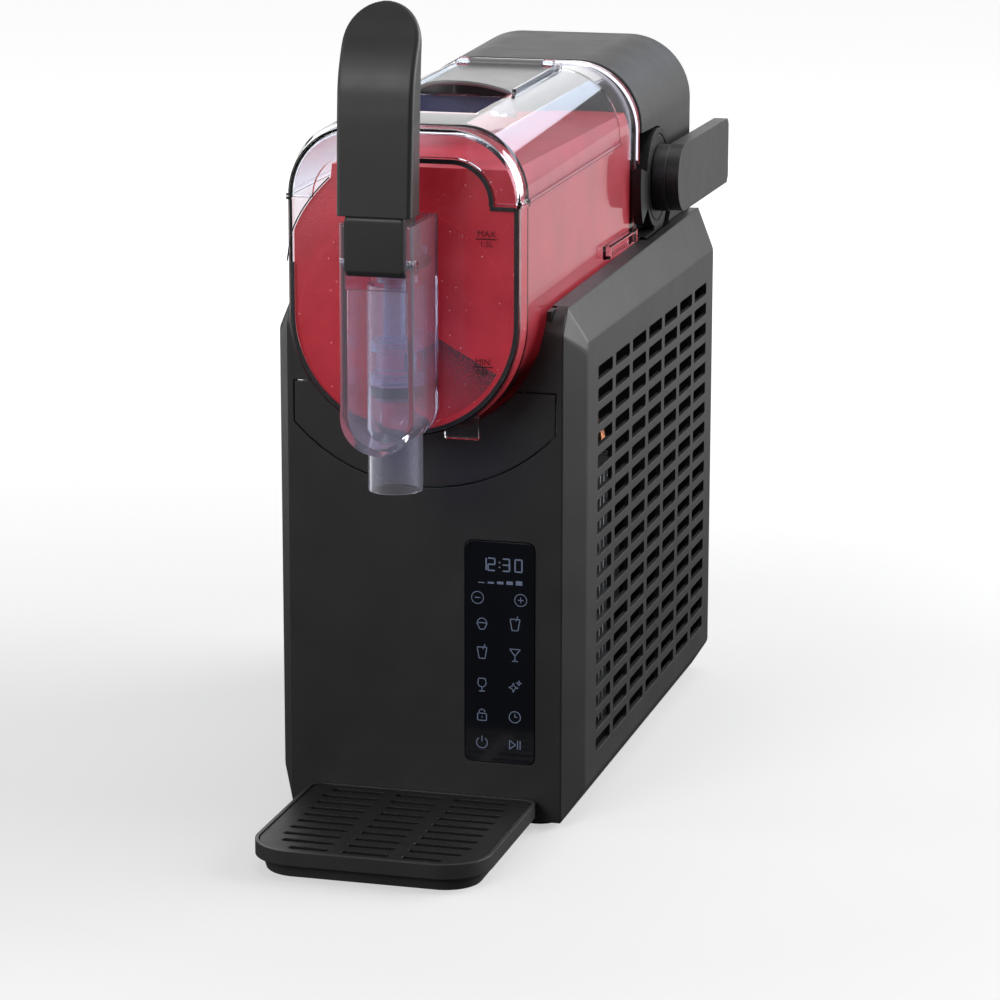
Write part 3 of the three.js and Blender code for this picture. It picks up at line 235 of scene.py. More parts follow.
def ramp(nt, value, low, high, start, stop):
    """start where value is low, stop where it is high, and straight between."""
    made = node(nt, "ShaderNodeMapRange")
    fill(made, {"From Min": low, "From Max": high, "To Min": start, "To Max": stop})
    nt.links.new(value, made.inputs["Value"])
    return made.outputs["Result"]


def spread(nt, value, low, high):
    """Turns the middle of a 0 to 1 pattern into the range low to high."""
    return ramp(nt, value, 0.3, 0.7, low, high)


def blend_colours(nt, factor, first, second):
    """first, turning into second as factor goes from 0 to 1; either may be a colour or a socket."""
    made = node(nt, "ShaderNodeMix", data_type="RGBA")
    nt.links.new(factor, made.inputs[0])
    for colour, socket in ((first, made.inputs[6]), (second, made.inputs[7])):
        if isinstance(colour, tuple):
            socket.default_value = (*colour, 1)
        else:
            nt.links.new(colour, socket)
    return made.outputs[2]


def raise_surface(nt, shader, height, strength, distance, edge=0.0):
    """Bump from a height pattern, on edges that look rounded by edge metres."""
    bump = node(nt, "ShaderNodeBump", Strength=strength, Distance=distance)
    nt.links.new(height, bump.inputs["Height"])
    if edge:
        soft = node(nt, "ShaderNodeBevel", Radius=edge, samples=4)
        nt.links.new(soft.outputs["Normal"], bump.inputs["Normal"])
    nt.links.new(bump.outputs["Normal"], shader.inputs["Normal"])


def tinted(nt, shader, pattern, first, second):
    """Colours a shader between first and second by a pattern."""
    nt.links.new(blend_colours(nt, spread(nt, pattern, 0, 1), first, second), shader.inputs["Base Color"])


def roughened(nt, shader, pattern, low, high):
    nt.links.new(spread(nt, pattern, low, high), shader.inputs["Roughness"])


def scaled(colour, share):
    return tuple(min(1, c * share) for c in colour)


def moulded(name, colour, roughness, grain=0.25, grain_size=2600, edge=0.0007):
    """Injection-moulded plastic with a fine spark-eroded grain, slight mottling and handling marks."""
    mat, nt, shader = new_material(name)
    tinted(nt, shader, noise(nt, 26, 4), scaled(colour, 0.86), scaled(colour, 1.14))
    roughened(nt, shader, noise(nt, 70, 5), roughness - 0.02, roughness + 0.03)
    raise_surface(nt, shader, noise(nt, grain_size, 2), grain, 0.00004, edge)
    return mat


def metal(name, colour, roughness, stretch=(1, 1, 1), scale=900, edge=0.0004):
    """Metal with fine lines of drawing or turning and a little tarnish."""
    mat, nt, shader = new_material(name)
    fill(shader, {"Metallic": 1})
    tinted(nt, shader, noise(nt, 45, 4), scaled(colour, 0.78), colour)
    lines = noise(nt, scale, 3, stretch)
    roughened(nt, shader, lines, roughness - 0.08, roughness + 0.1)
    raise_surface(nt, shader, lines, 0.12, 0.00003, edge)
    return mat


def painted_steel(name, colour):
    """Sprayed black paint with orange peel on a pressed shell."""
    mat, nt, shader = new_material(name)
    tinted(nt, shader, noise(nt, 60, 5), colour, scaled(colour, 1.7))
    fill(shader, {"Roughness": 0.35, "Coat Weight": 0.3})
    raise_surface(nt, shader, noise(nt, 420, 2), 0.2, 0.0001, 0.0006)
    return mat


def circuit_board():
    """Green solder mask with traces."""
    mat, nt, shader = new_material("board_material")
    cells = node(nt, "ShaderNodeTexVoronoi", Scale=190, distance="CHEBYCHEV")
    nt.links.new(place_of(nt), cells.inputs["Vector"])
    tinted(nt, shader, cells.outputs["Distance"], (0.008, 0.09, 0.035), (0.03, 0.2, 0.08))
    fill(shader, {"Roughness": 0.38})
    raise_surface(nt, shader, cells.outputs["Distance"], 0.3, 0.0001)
    return mat


def panel_glass():
    """The control panel's black glass: a hard coat over black print, with faint finger smears."""
    mat, nt, shader = new_material("panel_glass_material")
    smear = noise(nt, 34, 5, (1, 1, 0.4))
    tinted(nt, shader, smear, (0.0035, 0.004, 0.007), (0.006, 0.007, 0.012))
    roughened(nt, shader, smear, 0.05, 0.13)
    raise_surface(nt, shader, noise(nt, 12, 1), 0.02, 0.0002, 0.0006)
    return mat


def clear_plastic(name, tint, roughness=0.03, cloud=(0.9, 0.92, 1.0), haze=0.0):
    """Clear copolyester: light from lamps passes it, and flow lines and fine scratches disturb its gloss."""
    mat, nt, shader = new_material(name)
    tinted(nt, shader, noise(nt, 22, 3, (1, 0.4, 1)), tint, scaled(tint, 1.03))
    roughened(nt, shader, noise(nt, 260, 6, (1, 0.15, 1)), roughness * 0.5, roughness * 1.6)
    fill(shader, {"IOR": 1.45, "Transmission Weight": 1.0 - haze})
    raise_surface(nt, shader, noise(nt, 60, 2), 0.02, 0.0002)
    path = nt.nodes.new("ShaderNodeLightPath")
    lamps = combined(nt, "MAXIMUM", path.outputs["Is Shadow Ray"], path.outputs["Is Diffuse Ray"])
    through = node(nt, "ShaderNodeBsdfTransparent", Color=(*scaled(cloud, 0.97), 1))
    mix_shaders(nt, lamps, shader, through, "Material Output")
    return mat


def blade_shadow(nt, place):
    """How dark the auger's blade makes the slush in front of it: most at its leading edge, fading behind."""
    x, _, z = apart(nt, place)
    angle = combined(nt, "ARCTAN2", combined(nt, "SUBTRACT", z, AXIS_Z * MM), x)
    edge = radians(-29)
    fade = ramp(nt, angle, radians(-76), edge, 0.0, 1.0)
    ahead = combined(nt, "LESS_THAN", angle, edge)
    grains = ramp(nt, noise(nt, 900, 5), 0.34, 0.55, 0.45, 1.0)
    return combined(nt, "MULTIPLY", combined(nt, "MULTIPLY", ahead, fade), grains)


def slush_ice(name, over_blade=False):
    """Red slush: packed ice grains in syrup, pale flecks of air against the wall, a little depth and a faint
    painted glow in its own colour.
    """
    mat, nt, shader = new_material(name)
    place = place_of(nt)
    grain, fleck = [node(nt, "ShaderNodeTexVoronoi", Scale=scale) for scale in (1150, 330)]
    for cells in (grain, fleck):
        nt.links.new(place, cells.inputs["Vector"])
    cloud = spread(nt, noise(nt, 38, 6), 0, 1)
    colour = blend_colours(nt, cloud, (0.46, 0.012, 0.022), (0.62, 0.028, 0.042))
    spot = ramp(nt, fleck.outputs["Distance"], 0.17, 0.1, 0.0, 1.0)
    some = combined(nt, "GREATER_THAN", fleck.outputs["Color"], 0.78)
    colour = blend_colours(nt, combined(nt, "MULTIPLY", spot, some), colour, (0.86, 0.4, 0.42))
    if over_blade:
        colour = blend_colours(nt, blade_shadow(nt, place), colour, (0.05, 0.024, 0.032))
    nt.links.new(colour, shader.inputs["Base Color"])
    # painted light: the slush glows faintly in its own colour
    nt.links.new(colour, shader.inputs["Emission Color"])
    fill(shader, {"Emission Strength": 0.32, "Roughness": 0.42, "Subsurface Weight": 0.35,
                  "Subsurface Radius": (0.006, 0.0012, 0.0012), "Subsurface Scale": 0.6})
    raise_surface(nt, shader, grain.outputs["Distance"], 0.35, 0.00025)
    return mat


def ink(name, colour, glow=0.0):
    """Printed or lit marking."""
    mat, nt, shader = new_material(name)
    tinted(nt, shader, noise(nt, 700, 2), scaled(colour, 0.8), colour)
    fill(shader, {"Roughness": 0.4})
    if glow:
        fill(shader, {"Emission Color": (*colour, 1), "Emission Strength": glow})
    return mat


MATERIALS = {}


def make_materials():
    MATERIALS.update(
        charcoal=moulded("charcoal_housing", (0.03, 0.03, 0.0305), 0.46, 0.35),
        handle=moulded("charcoal_handle", (0.029, 0.029, 0.0295), 0.42, 0.22, 3200),
        black=moulded("black_plastic_material", (0.011, 0.011, 0.012), 0.42, 0.2),
        tray=moulded("tray_plastic", (0.043, 0.042, 0.042), 0.4, 0.22),
        white=moulded("white_plastic_material", (0.75, 0.73, 0.68), 0.45, 0.1),
        rubber=moulded("rubber_material", (0.012, 0.012, 0.012), 0.8, 0.5, 1500),
        auger=moulded("auger_plastic", (0.022, 0.019, 0.024), 0.38, 0.15),
        glass=panel_glass(),
        board=circuit_board(),
        steel=metal("steel_material", (0.62, 0.63, 0.65), 0.28, (1, 0.08, 1)),
        turned=metal("turned_steel", (0.66, 0.66, 0.67), 0.24, (1, 3.0, 1)),
        copper=metal("copper_material", (0.72, 0.32, 0.17), 0.33),
        cast=metal("cast_aluminium_material", (0.5, 0.51, 0.53), 0.46, (1, 1, 1), 260),
        paint=painted_steel("black_paint_material", (0.012, 0.012, 0.013)),
        clear=clear_plastic("clear_bowl", (0.93, 0.945, 0.985)),
        lid=clear_plastic("clear_lid", (0.86, 0.915, 1.0), 0.025),
        column=clear_plastic("clear_tinted_column", (0.9, 0.9, 1.0), 0.05, (0.9, 0.9, 1.0), 0.08),
        valve=clear_plastic("clear_valve", (0.72, 0.86, 1.0), 0.08, (0.75, 0.85, 1.0), 0.2),
        flap=moulded("smoke_flap", (0.2, 0.2, 0.205), 0.3, 0.08),
        # painted shade under the flap's front lip
        lip=moulded("flap_lip_painted_shade", (0.012, 0.01, 0.012), 0.3, 0.1),
        # painted highlight: a glowing line in the bowl's flange
        bright=ink("painted_edge_highlight", (0.82, 0.86, 0.97), 1.0),
        # painted reflection: the blue in the finger scoop
        scoop=ink("painted_blue_reflection", (0.045, 0.06, 0.15)),
        slush=slush_ice("slush_material"),
        slush_front=slush_ice("slush_front_material", True),
        mark=ink("level_ink", (0.004, 0.002, 0.003)),
        icon=ink("icon_light", (0.16, 0.2, 0.3), 0.22),
        # painted shade: the dark strips along the clear plastic's edges
        line=ink("edge_shadow", (0.004, 0.003, 0.004)),
    )


# ---------------- outlines
def arc(cx, cy, r, start, stop, steps):
    turns = [radians(start + (stop - start) * i / steps) for i in range(steps + 1)]
    return [(cx + r * cos(a), cy + r * sin(a)) for a in turns]


def circle(cx, cy, r, steps=64):
    return arc(cx, cy, r, 0, 360, steps)[:-1]


def rounded(x0, x1, y0, y1, r, steps=6):
    return (
        arc(x0 + r, y0 + r, r, 180, 270, steps)
        + arc(x1 - r, y0 + r, r, 270, 360, steps)
        + arc(x1 - r, y1 - r, r, 0, 90, steps)
        + arc(x0 + r, y1 - r, r, 90, 180, steps)
    )


def barrel(half, top, corner, steps=10):
    """The bowl's section: a half round below the axis, straight sides and round upper edges."""
    points = (
        arc(0, 0, half, 180, 360, 5 * steps)
        + arc(half - corner, top - corner, corner, 0, 90, 2 * steps)
        + arc(corner - half, top - corner, corner, 90, 180, 2 * steps)
    )
    return [(x, z + AXIS_Z) for x, z in points]


# ---------------- mesh kit
def object_from(bm):
    mesh = bpy.data.meshes.new("shape")
    bmesh.ops.recalc_face_normals(bm, faces=bm.faces)
    bm.to_mesh(mesh)
    bm.free()
    return added("shape", mesh)


def skin(rings):
    """A closed skin through rings of equally many points (x, y, z) in millimetres, and its two end faces."""
    bm = bmesh.new()
    rows = [[bm.verts.new(at(*point)) for point in ring] for ring in rings]
    count = len(rings[0])
    for low, high in zip(rows, rows[1:]):
        for i in range(count):
            j = (i + 1) % count
            bm.faces.new((low[i], low[j], high[j], high[i]))
    return bm, [bm.faces.new(rows[0]), bm.faces.new(rows[-1])]


def soften(bm, edges, soft, segments):
    bmesh.ops.bevel(bm, geom=edges, offset=soft * MM, segments=segments, profile=0.5, affect="EDGES")


def loft(rings):
    return object_from(skin(rings)[0])


def place3(axis, a, b, along):
    return {"x": (along, a, b), "y": (a, along, b), "z": (a, b, along)}[axis]


def prism(axis, outline, low, high, soft=0.0, segments=3):
    """An outline in (y, z), (x, z) or (x, y) pushed along an axis, with its end edges rounded by soft."""
    bm, caps = skin([[place3(axis, a, b, along) for a, b in outline] for along in (low, high)])
    if soft:
        soften(bm, list({edge for cap in caps for edge in cap.edges}), soft, segments)
    return object_from(bm)


def block(x0, x1, y0, y1, z0, z1, soft=0.0):
    """A box, with every edge rounded by soft."""
    bm, _ = skin([[(x0, y0, z), (x1, y0, z), (x1, y1, z), (x0, y1, z)] for z in (z0, z1)])
    if soft:
        soften(bm, list(bm.edges), soft, 3)
    return object_from(bm)


def slab(y0, y1, z0, z1, x0=-FAR, x1=FAR):
    """A box for cutting, wider than the machine unless x0 or x1 says otherwise."""
    return block(x0, x1, y0, y1, z0, z1)


def rod(axis, r, low, high, a=0.0, b=0.0, soft=0.0, sides=64):
    return prism(axis, circle(a, b, r, sides), low, high, soft)


def lock_rod(r, x0, x1, soft=0.0, sides=64):
    """A rod on the lock's axis."""
    return rod("x", r, x0, x1, LOCK_Y, LOCK_Z, soft, sides)


def apply_modifiers(piece):
    graph = bpy.context.evaluated_depsgraph_get()
    mesh = bpy.data.meshes.new_from_object(piece.evaluated_get(graph))
    old = piece.data
    piece.modifiers.clear()
    piece.data = mesh
    bpy.data.meshes.remove(old)
    return piece


def combine(piece, tools, operation):
    """Booleans piece with each tool in turn and removes the tools."""
    for tool in tools:
        step = piece.modifiers.new("step", "BOOLEAN")
        step.operation = operation
        step.solver = "MANIFOLD"
        step.object = tool
    apply_modifiers(piece)
    for tool in tools:
        bpy.data.objects.remove(tool)
    return piece


def cut(piece, *tools):
    return combine(piece, tools, "DIFFERENCE")


def join(piece, *tools):
    return combine(piece, tools, "UNION")


def gather(pieces):
    """Separate closed shapes as one object."""
    bm = bmesh.new()
    for piece in pieces:
        bm.from_mesh(piece.data)
        bpy.data.objects.remove(piece)
    return object_from(bm)


def shade(piece, angle=34):
    """Smooth faces with sharp edges over the angle, and normals that lie flat on the large faces."""
    piece.data.polygons.foreach_set("use_smooth", [True] * len(piece.data.polygons))
    piece.data.set_sharp_from_angle(angle=radians(angle))
    flat = piece.modifiers.new("flat_normals", "WEIGHTED_NORMAL")
    flat.keep_sharp = True
    return piece


def settle(name, piece, body, material, nodes=(), angle=34):
    """Gives a piece its name, shading, material and body, and hides the CAD nodes it stands for."""
    piece.name = piece.data.name = name
    piece.data.materials.clear()
    piece.data.materials.append(MATERIALS[material])
    shade(piece, angle)
    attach(piece, body)
    if nodes:
        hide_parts(*nodes)
    return piece


def dress(name, material, angle=30):
    """A CAD node whose shape is right keeps its mesh and gets smooth shading and a material."""
    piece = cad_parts[name]
    mesh = piece.data
    mesh.materials.clear()
    mesh.materials.append(MATERIALS[material])
    mesh.polygons.foreach_set("material_index", [0] * len(mesh.polygons))
    mesh.polygons.foreach_set("use_smooth", [True] * len(mesh.polygons))
    weld = piece.modifiers.new("weld", "WELD")
    weld.merge_threshold = 0.000002
    split = piece.modifiers.new("sharp_edges", "EDGE_SPLIT")
    split.split_angle = radians(angle)
    flat = piece.modifiers.new("flat_normals", "WEIGHTED_NORMAL")
    flat.keep_sharp = True


# ---------------- bowl
def bowl_half(y):
    rise = (y - BOWL_FRONT) / (FRONT_ROLL - BOWL_FRONT)
    return 60 + 2 * rise if y < FRONT_ROLL else 62.0


def bowl_top(y):
    rise = (y - BOWL_FRONT) / (FRONT_ROLL - BOWL_FRONT)
    return 367 + 2.5 * rise if y < FRONT_ROLL else 369.5 + 0.031 * (y - FRONT_ROLL)


def parting_at(y):
    return 331 + 0.018 * (y - BOWL_FRONT)


def bowl_ring(y, inset, place=None):
    outline = barrel(bowl_half(y) - inset, bowl_top(y) - AXIS_Z - inset, BOWL_CORNER - inset)
    return [(x, y if place is None else place, z) for x, z in outline]


def bowl_skin(front, back, inset, soft, steps):
    """The bowl's form, drawn in by inset from its outside, its front edge rounded by soft in steps."""
    rings = []
    for i in range(steps + 1):
        a = radians(90 * i / steps)
        y = front + soft * (1 - cos(a))
        rings.append(bowl_ring(max(y, BOWL_FRONT), inset + soft * (1 - sin(a)), y))
    return loft(rings + [bowl_ring(FRONT_ROLL, inset), bowl_ring(back, inset)])


def bowl_outer(back, swell=0.0):
    return bowl_skin(BOWL_FRONT - swell, back, -swell, 1.6, 4)


def bowl_inner(back, inset):
    return bowl_skin(BOWL_FRONT + inset, back, inset, 1.2, 3)


def from_parting(y0, y1, dz, end):
    """All that lies between the height dz over the parting and the height end."""
    outline = [(y0, parting_at(y0) + dz), (y1, parting_at(y1) + dz), (y1, end), (y0, end)]
    return prism("x", outline, -FAR, FAR)


def above_parting(y0, y1, dz):
    return from_parting(y0, y1, dz, HIGH)


def below_parting(y0, y1, dz):
    return from_parting(y0, y1, dz, 100)


def arch_outline(inset, low, steps):
    """The part of the bowl's front wall that stands up into the lid."""
    return (
        [(-ARCH_HALF + inset, low), (ARCH_HALF - inset, low)]
        + arc(ARCH_HALF - ARCH_R, ARCH_TOP - ARCH_R, ARCH_R - inset, 0, 90, steps)
        + arc(ARCH_R - ARCH_HALF, ARCH_TOP - ARCH_R, ARCH_R - inset, 90, 180, steps)
    )


def arch(inset, y0, y1):
    return prism("y", arch_outline(inset, 300, 14), y0, y1)


def parting_rim(low, high):
    """A bead along the parting line, from low to high above it."""
    return cut(
        bowl_outer(LID_BACK, 1.0),
        bowl_inner(LID_BACK + 2, BOWL_WALL),
        below_parting(BOWL_FRONT - 9, LID_BACK + 9, low),
        above_parting(BOWL_FRONT - 9, LID_BACK + 9, high),
        block(-ARCH_HALF - 1, ARCH_HALF + 1, BOWL_FRONT - 9, BOWL_FRONT + 5, 200, 400),
    )


def hook_path():
    """The space that the lock's hook turns through."""
    ring = cut(
        lock_rod(HOOK_OUT + 0.7, HOOK_X0 - 0.5, HOOK_X1 + 0.6),
        lock_rod(HOOK_IN - 0.7, HOOK_X0 - 2, HOOK_X1 + 2),
    )
    web = lock_rod(HOOK_OUT + 0.7, HOOK_X1 - HOOK_WEB - GAP, HOOK_X1 + 0.6)
    return cut(join(ring, web), block(0, 100, 100, 400, 320, 400))


def collar(half, top, corner, y0, y1, soft=0.0):
    return prism("y", barrel(half, top - AXIS_Z, corner), y0, y1, soft)


def make_tub():
    wall_back = BOWL_FRONT + BOWL_WALL
    tub = cut(bowl_outer(LID_BACK + 4), above_parting(wall_back, 300, 0))
    shoulders = cut(slab(-50, wall_back, parting_at(BOWL_FRONT), HIGH), arch(0, -60, 0))
    face = BOWL_BACK - FLANGE_THICK
    flange = cut(
        collar(FLANGE_HALF, COLLAR_TOP + 1.2, BOWL_CORNER + 1, face, BOWL_BACK, 0.6),
        slab(190, 210, 150, 280),
    )
    flange = join(flange, rod("y", CRADLE_R - GAP, face, BOWL_BACK, 0, AXIS_Z, 0.5, 96))
    back_ring = collar(COLLAR_HALF, COLLAR_TOP, BOWL_CORNER, LID_BACK + GAP, BOWL_BACK - 1)
    tab = block(20, 38, BOWL_FRONT + 3.5, BOWL_FRONT + 7.5, 211, 223, 0.8)
    lug = block(60, 66, 130, 195, 277.5, 285, 0.8)
    tub = cut(tub, shoulders)
    tub = join(tub, parting_rim(-1.4, 0), back_ring, cut(flange, hook_path()), tab, lug)
    return cut(
        tub,
        block(HOOK_X0 - 0.4, 80, BOWL_BACK - 4, BOWL_BACK + 4, 262, 320),
        block(62.5, 70, 137, 188, 279, 283.5),
        loft([bowl_ring(wall_back + 1.2, BOWL_WALL, wall_back),
                              bowl_ring(FRONT_ROLL + 1, BOWL_WALL)]),
        collar(COLLAR_HALF - BOWL_WALL, COLLAR_TOP - BOWL_WALL, BOWL_CORNER - BOWL_WALL,
               FRONT_ROLL, BOWL_BACK + 5),
        slab(-60, -30, PORT_LOW, PORT_HIGH, -PORT_HALF, PORT_HALF),
    )


FLAP_HALF, FLAP_Y0, FLAP_Y1, FLAP_THICK = 26.5, 74.0, 157.5, 2.2
HINGE_Y, HINGE_Z, HINGE_LUG, HINGE_BORE = 161.0, 377.6, 20.9, 1.6
SCOOP_Y0, SCOOP_Y1, SCOOP_HALF, SCOOP_LOW, SCOOP_WALL = 6.0, 72.0, 26.0, 361.0, 2.0
STATIONS = 40  # slices across the flap


def flap_bottom(y):
    return 371.2 + 0.0405 * (y - FLAP_Y0)


def flap_tip(x):
    """Where the flap's front lip ends at x, and how high its top is there."""
    share = abs(x) / FLAP_HALF
    return 59 + 14 * share**1.45, 380 - 6.4 * share**2.1


def make_lid():
    lid = cut(
        bowl_outer(LID_BACK),
        bowl_inner(LID_BACK + 2, BOWL_WALL),
        below_parting(-60, 300, GAP),
        arch(-GAP, -60, BOWL_FRONT + BOWL_WALL + 0.1),
    )
    scoop_outline = [
        (SCOOP_Y0 - 1, bowl_top(SCOOP_Y0) - 2),
        (SCOOP_Y1 + SCOOP_WALL, SCOOP_LOW - SCOOP_WALL),
        (SCOOP_Y1 + SCOOP_WALL, bowl_top(SCOOP_Y1) - 1),
        (SCOOP_Y0 - 1, bowl_top(SCOOP_Y0) - 1),
    ]
    scoop = prism("x", scoop_outline, -SCOOP_HALF - SCOOP_WALL, SCOOP_HALF + SCOOP_WALL)
    space_outline = [(SCOOP_Y0, bowl_top(SCOOP_Y0)), (SCOOP_Y1, SCOOP_LOW), (SCOOP_Y1, 390), (SCOOP_Y0, 390)]
    space = prism("x", space_outline, -SCOOP_HALF, SCOOP_HALF)
    back = HINGE_Y + 3.5
    pocket_outline = [(SCOOP_Y1, flap_bottom(SCOOP_Y1) - GAP), (back, flap_bottom(back) - GAP),
                      (back, 390), (SCOOP_Y1, 390)]
    pocket = prism("x", pocket_outline, -FLAP_HALF - GAP, FLAP_HALF + GAP)
    port = block(-24, 24, FLAP_Y0 + 2, FLAP_Y1 - 2, 350, 390)
    lid = cut(join(lid, scoop), space, pocket, port)

    def rail(x0):
        outline = [(70, bowl_top(70) - 1), (167, bowl_top(167) - 1), (167, bowl_top(167) + 2.8),
                   (70, bowl_top(70) + 2.8)]
        return prism("x", outline, x0, x0 + 2.2, 0.5)

    def lug(x0):
        x1 = x0 + FLAP_HALF - HINGE_LUG
        stem = block(x0, x1, HINGE_Y - 3, HINGE_Y + 3, 372.5, HINGE_Z)
        return join(stem, rod("x", 3, x0, x1, HINGE_Y, HINGE_Z, 0.3, 32))

    lid = join(lid, rail(-29.5), rail(27.3), lug(-FLAP_HALF), lug(HINGE_LUG), parting_rim(GAP, 1.8))
    return cut(lid, rod("x", HINGE_BORE, -40, 40, HINGE_Y, HINGE_Z, 0, 24))


def make_flap():
    """The flap: a thin plate with rounded edges whose front lip rises in an arc for a fingertip."""
    rings = []
    for i in range(STATIONS + 1):
        x = -FLAP_HALF + 2 * FLAP_HALF * i / STATIONS
        thick = FLAP_THICK * (0.55 if i in (0, STATIONS) else 1)
        lift = (FLAP_THICK - thick) / 2
        tip_y, tip_z = flap_tip(x)
        root_z = flap_bottom(FLAP_Y0) + FLAP_THICK
        profile = []
        for k in range(9):
            t = k / 8
            y = tip_y + t * (FLAP_Y0 + 6 - tip_y)
            z = tip_z + (root_z - tip_z) * (1 - (1 - t) ** 2)
            profile.append((y, z))
        profile.append((FLAP_Y1, flap_bottom(FLAP_Y1) + FLAP_THICK))
        top = [(x, y, z - lift) for y, z in profile]
        low = [(x, y, z - lift - thick) for y, z in reversed(profile)]
        nose = [(x, tip_y - 0.5, tip_z - FLAP_THICK / 2)]
        rings.append(top + low + nose)
    flap = loft(rings)
    clear = [
        block(x, x + FLAP_HALF - HINGE_LUG + 1 + GAP, FLAP_Y1 - 1.5, FLAP_Y1 + 5, 370, 385)
        for x in (-FLAP_HALF - 1, HINGE_LUG - GAP)
    ]
    half = HINGE_LUG - GAP
    web = block(-half, half, FLAP_Y1 - 1, HINGE_Y, HINGE_Z - 2.2, HINGE_Z - 0.4)
    knuckle = rod("x", 2.6, -half, half, HINGE_Y, HINGE_Z, 0.3, 32)
    flap = join(cut(flap, *clear), web, knuckle)
    return cut(flap, rod("x", HINGE_BORE, -40, 40, HINGE_Y, HINGE_Z, 0, 24))


def make_slush():
    """The slush against the bowl's wall, with a bore that leaves room for the auger."""
    rest = BOWL_WALL + GAP
    front, back = BOWL_FRONT + rest, BOWL_BACK - 8
    return cut(
        loft([bowl_ring(front, rest + 0.4), bowl_ring(front + 0.5, rest + 0.1),
                            bowl_ring(FRONT_ROLL, rest), bowl_ring(FRONT_ROLL + 1, rest, back)]),
        slab(-60, 260, SLUSH_TOP, HIGH),
        rod("y", SLUSH_BORE, front - 5, back + 5, 0, AXIS_Z, 0, 96),
        slush_shoulder(),
    )


def shoulder_curve(out=0.0):
    """The slanted edge of the slush at the bowl's upper left corner, from the side up to the top."""
    points = []
    for i in range(13):
        t = i / 12
        points.append((SHOULDER_X0 + (SHOULDER_X1 - SHOULDER_X0) * t - out * 0.7,
                       SHOULDER_Z0 + (SHOULDER_Z1 - SHOULDER_Z0) * sqrt(t) + out * 0.7))
    return points


def slush_shoulder():
    """The corner at the upper left that the slush leaves empty."""
    outline = shoulder_curve() + [(SHOULDER_X1 + 8, HIGH), (-FAR, HIGH), (-FAR, SHOULDER_Z0)]
    return prism("y", outline, -60, SHOULDER_Y)


def make_slush_front():
    """The slush that the auger carries round in front of its blade."""
    front = BOWL_FRONT + BOWL_WALL + GAP
    return rod("y", SLUSH_BORE - 0.1, front, front + 1.6, 0, AXIS_Z, 0, 96)


def outline_band(outer, inner, y0, y1, *limits):
    """A thin flat band between two outlines, from y0 to y1, less what the limits cover."""
    return cut(prism("y", outer, y0, y1), prism("y", inner, y0 - 1, y1 + 1), *limits)


def flat_ring(y, inset):
    return [(x, z) for x, _, z in bowl_ring(y, inset)]


def make_tub_edge_shade():
    """A dark strip of painted shade inside the front edge of the bowl, up to the parting and along the arch.
    """
    y0, y1 = BOWL_FRONT + 0.45, BOWL_FRONT + 1.0
    top = parting_at(BOWL_FRONT) - 1.2
    edge = outline_band(flat_ring(BOWL_FRONT, 0.9), flat_ring(BOWL_FRONT, 3.0), y0, y1,
                        slab(-60, 0, top, HIGH), slab(-60, 0, SHOULDER_Z0, HIGH, x1=-30))
    outer, inner = [arch_outline(inset, top - 2, 20) for inset in (0.5, 2.9)]
    bend = outline_band(outer, inner, y0, y1,
                        slab(-60, 0, 200, top + 0.2), slab(-60, 0, 200, HIGH, x1=-30))
    shoulder = block(ARCH_HALF - 2.4, 57.5, y0, y1, top - 2, top + 0.2)
    return gather([edge, bend, shoulder])


def make_shoulder_shade():
    """A thin dark strip of painted shade on the front wall along the empty corner."""
    outline = shoulder_curve(0.1) + shoulder_curve(0.8)[::-1]
    return prism("y", outline, BOWL_FRONT + 0.5, BOWL_FRONT + 1.0)


def make_column_root_shade():
    """A dark strip of painted shade where the tap's column meets the bowl."""
    y = BOWL_FRONT - 2.2
    outer, inner = column_outline(0.3, COLUMN_TOP - 1), column_outline(1.1, 400)
    return outline_band(outer, inner, y, y + 0.8)


def make_flange_highlight():
    """A painted highlight: a glowing line that runs round inside the bowl's rear flange."""
    outer, inner = [barrel(FLANGE_HALF - inset, COLLAR_TOP + 1.2 - AXIS_Z - inset, BOWL_CORNER + 1)
                    for inset in (0.2, 1.2)]
    face = BOWL_BACK - FLANGE_THICK
    return outline_band(outer, inner, face - 0.5, face - 0.05, slab(190, 210, 100, 322))


def make_scoop_reflection():
    """A painted blue reflection on the back wall of the finger scoop."""
    half = SCOOP_HALF - 0.4
    return block(-half, half, SCOOP_Y1 - 0.5, SCOOP_Y1 - 0.1, SCOOP_LOW + 0.4, 370.4)


def make_flap_lip_shade():
    """A dark strip of painted shade under the flap's raised front lip."""
    rows = []
    for i in range(STATIONS + 1):
        x = (2 * i / STATIONS - 1) * (FLAP_HALF - 0.8)
        y, z = flap_tip(x)
        high = z - FLAP_THICK - 0.05
        low = min(max(high - 4.6, FLAP_SHADE_LOW), high - 0.3)
        rows.append([(x, y + 0.2, high), (x, y + 0.9, high), (x, y + 0.9, low), (x, y + 0.2, low)])
    return loft(rows)


def make_lid_edge_shade():
    """A dark strip of painted shade inside the lid's rolled front edge."""
    y = FRONT_ROLL - 1.2
    return outline_band(flat_ring(y, 0.4), flat_ring(y, 1.7), y, y + 1.5,
                        slab(-60, 0, 100, parting_at(y) + 2), slab(-60, 0, 100, HIGH, x1=-36))


# ---------------- tap
def column_outline(inset, top):
    half = COLUMN_HALF - inset
    return arc(0, COLUMN_ROUND_Z, half, 180, 360, 40) + [(half, top), (-half, top)]


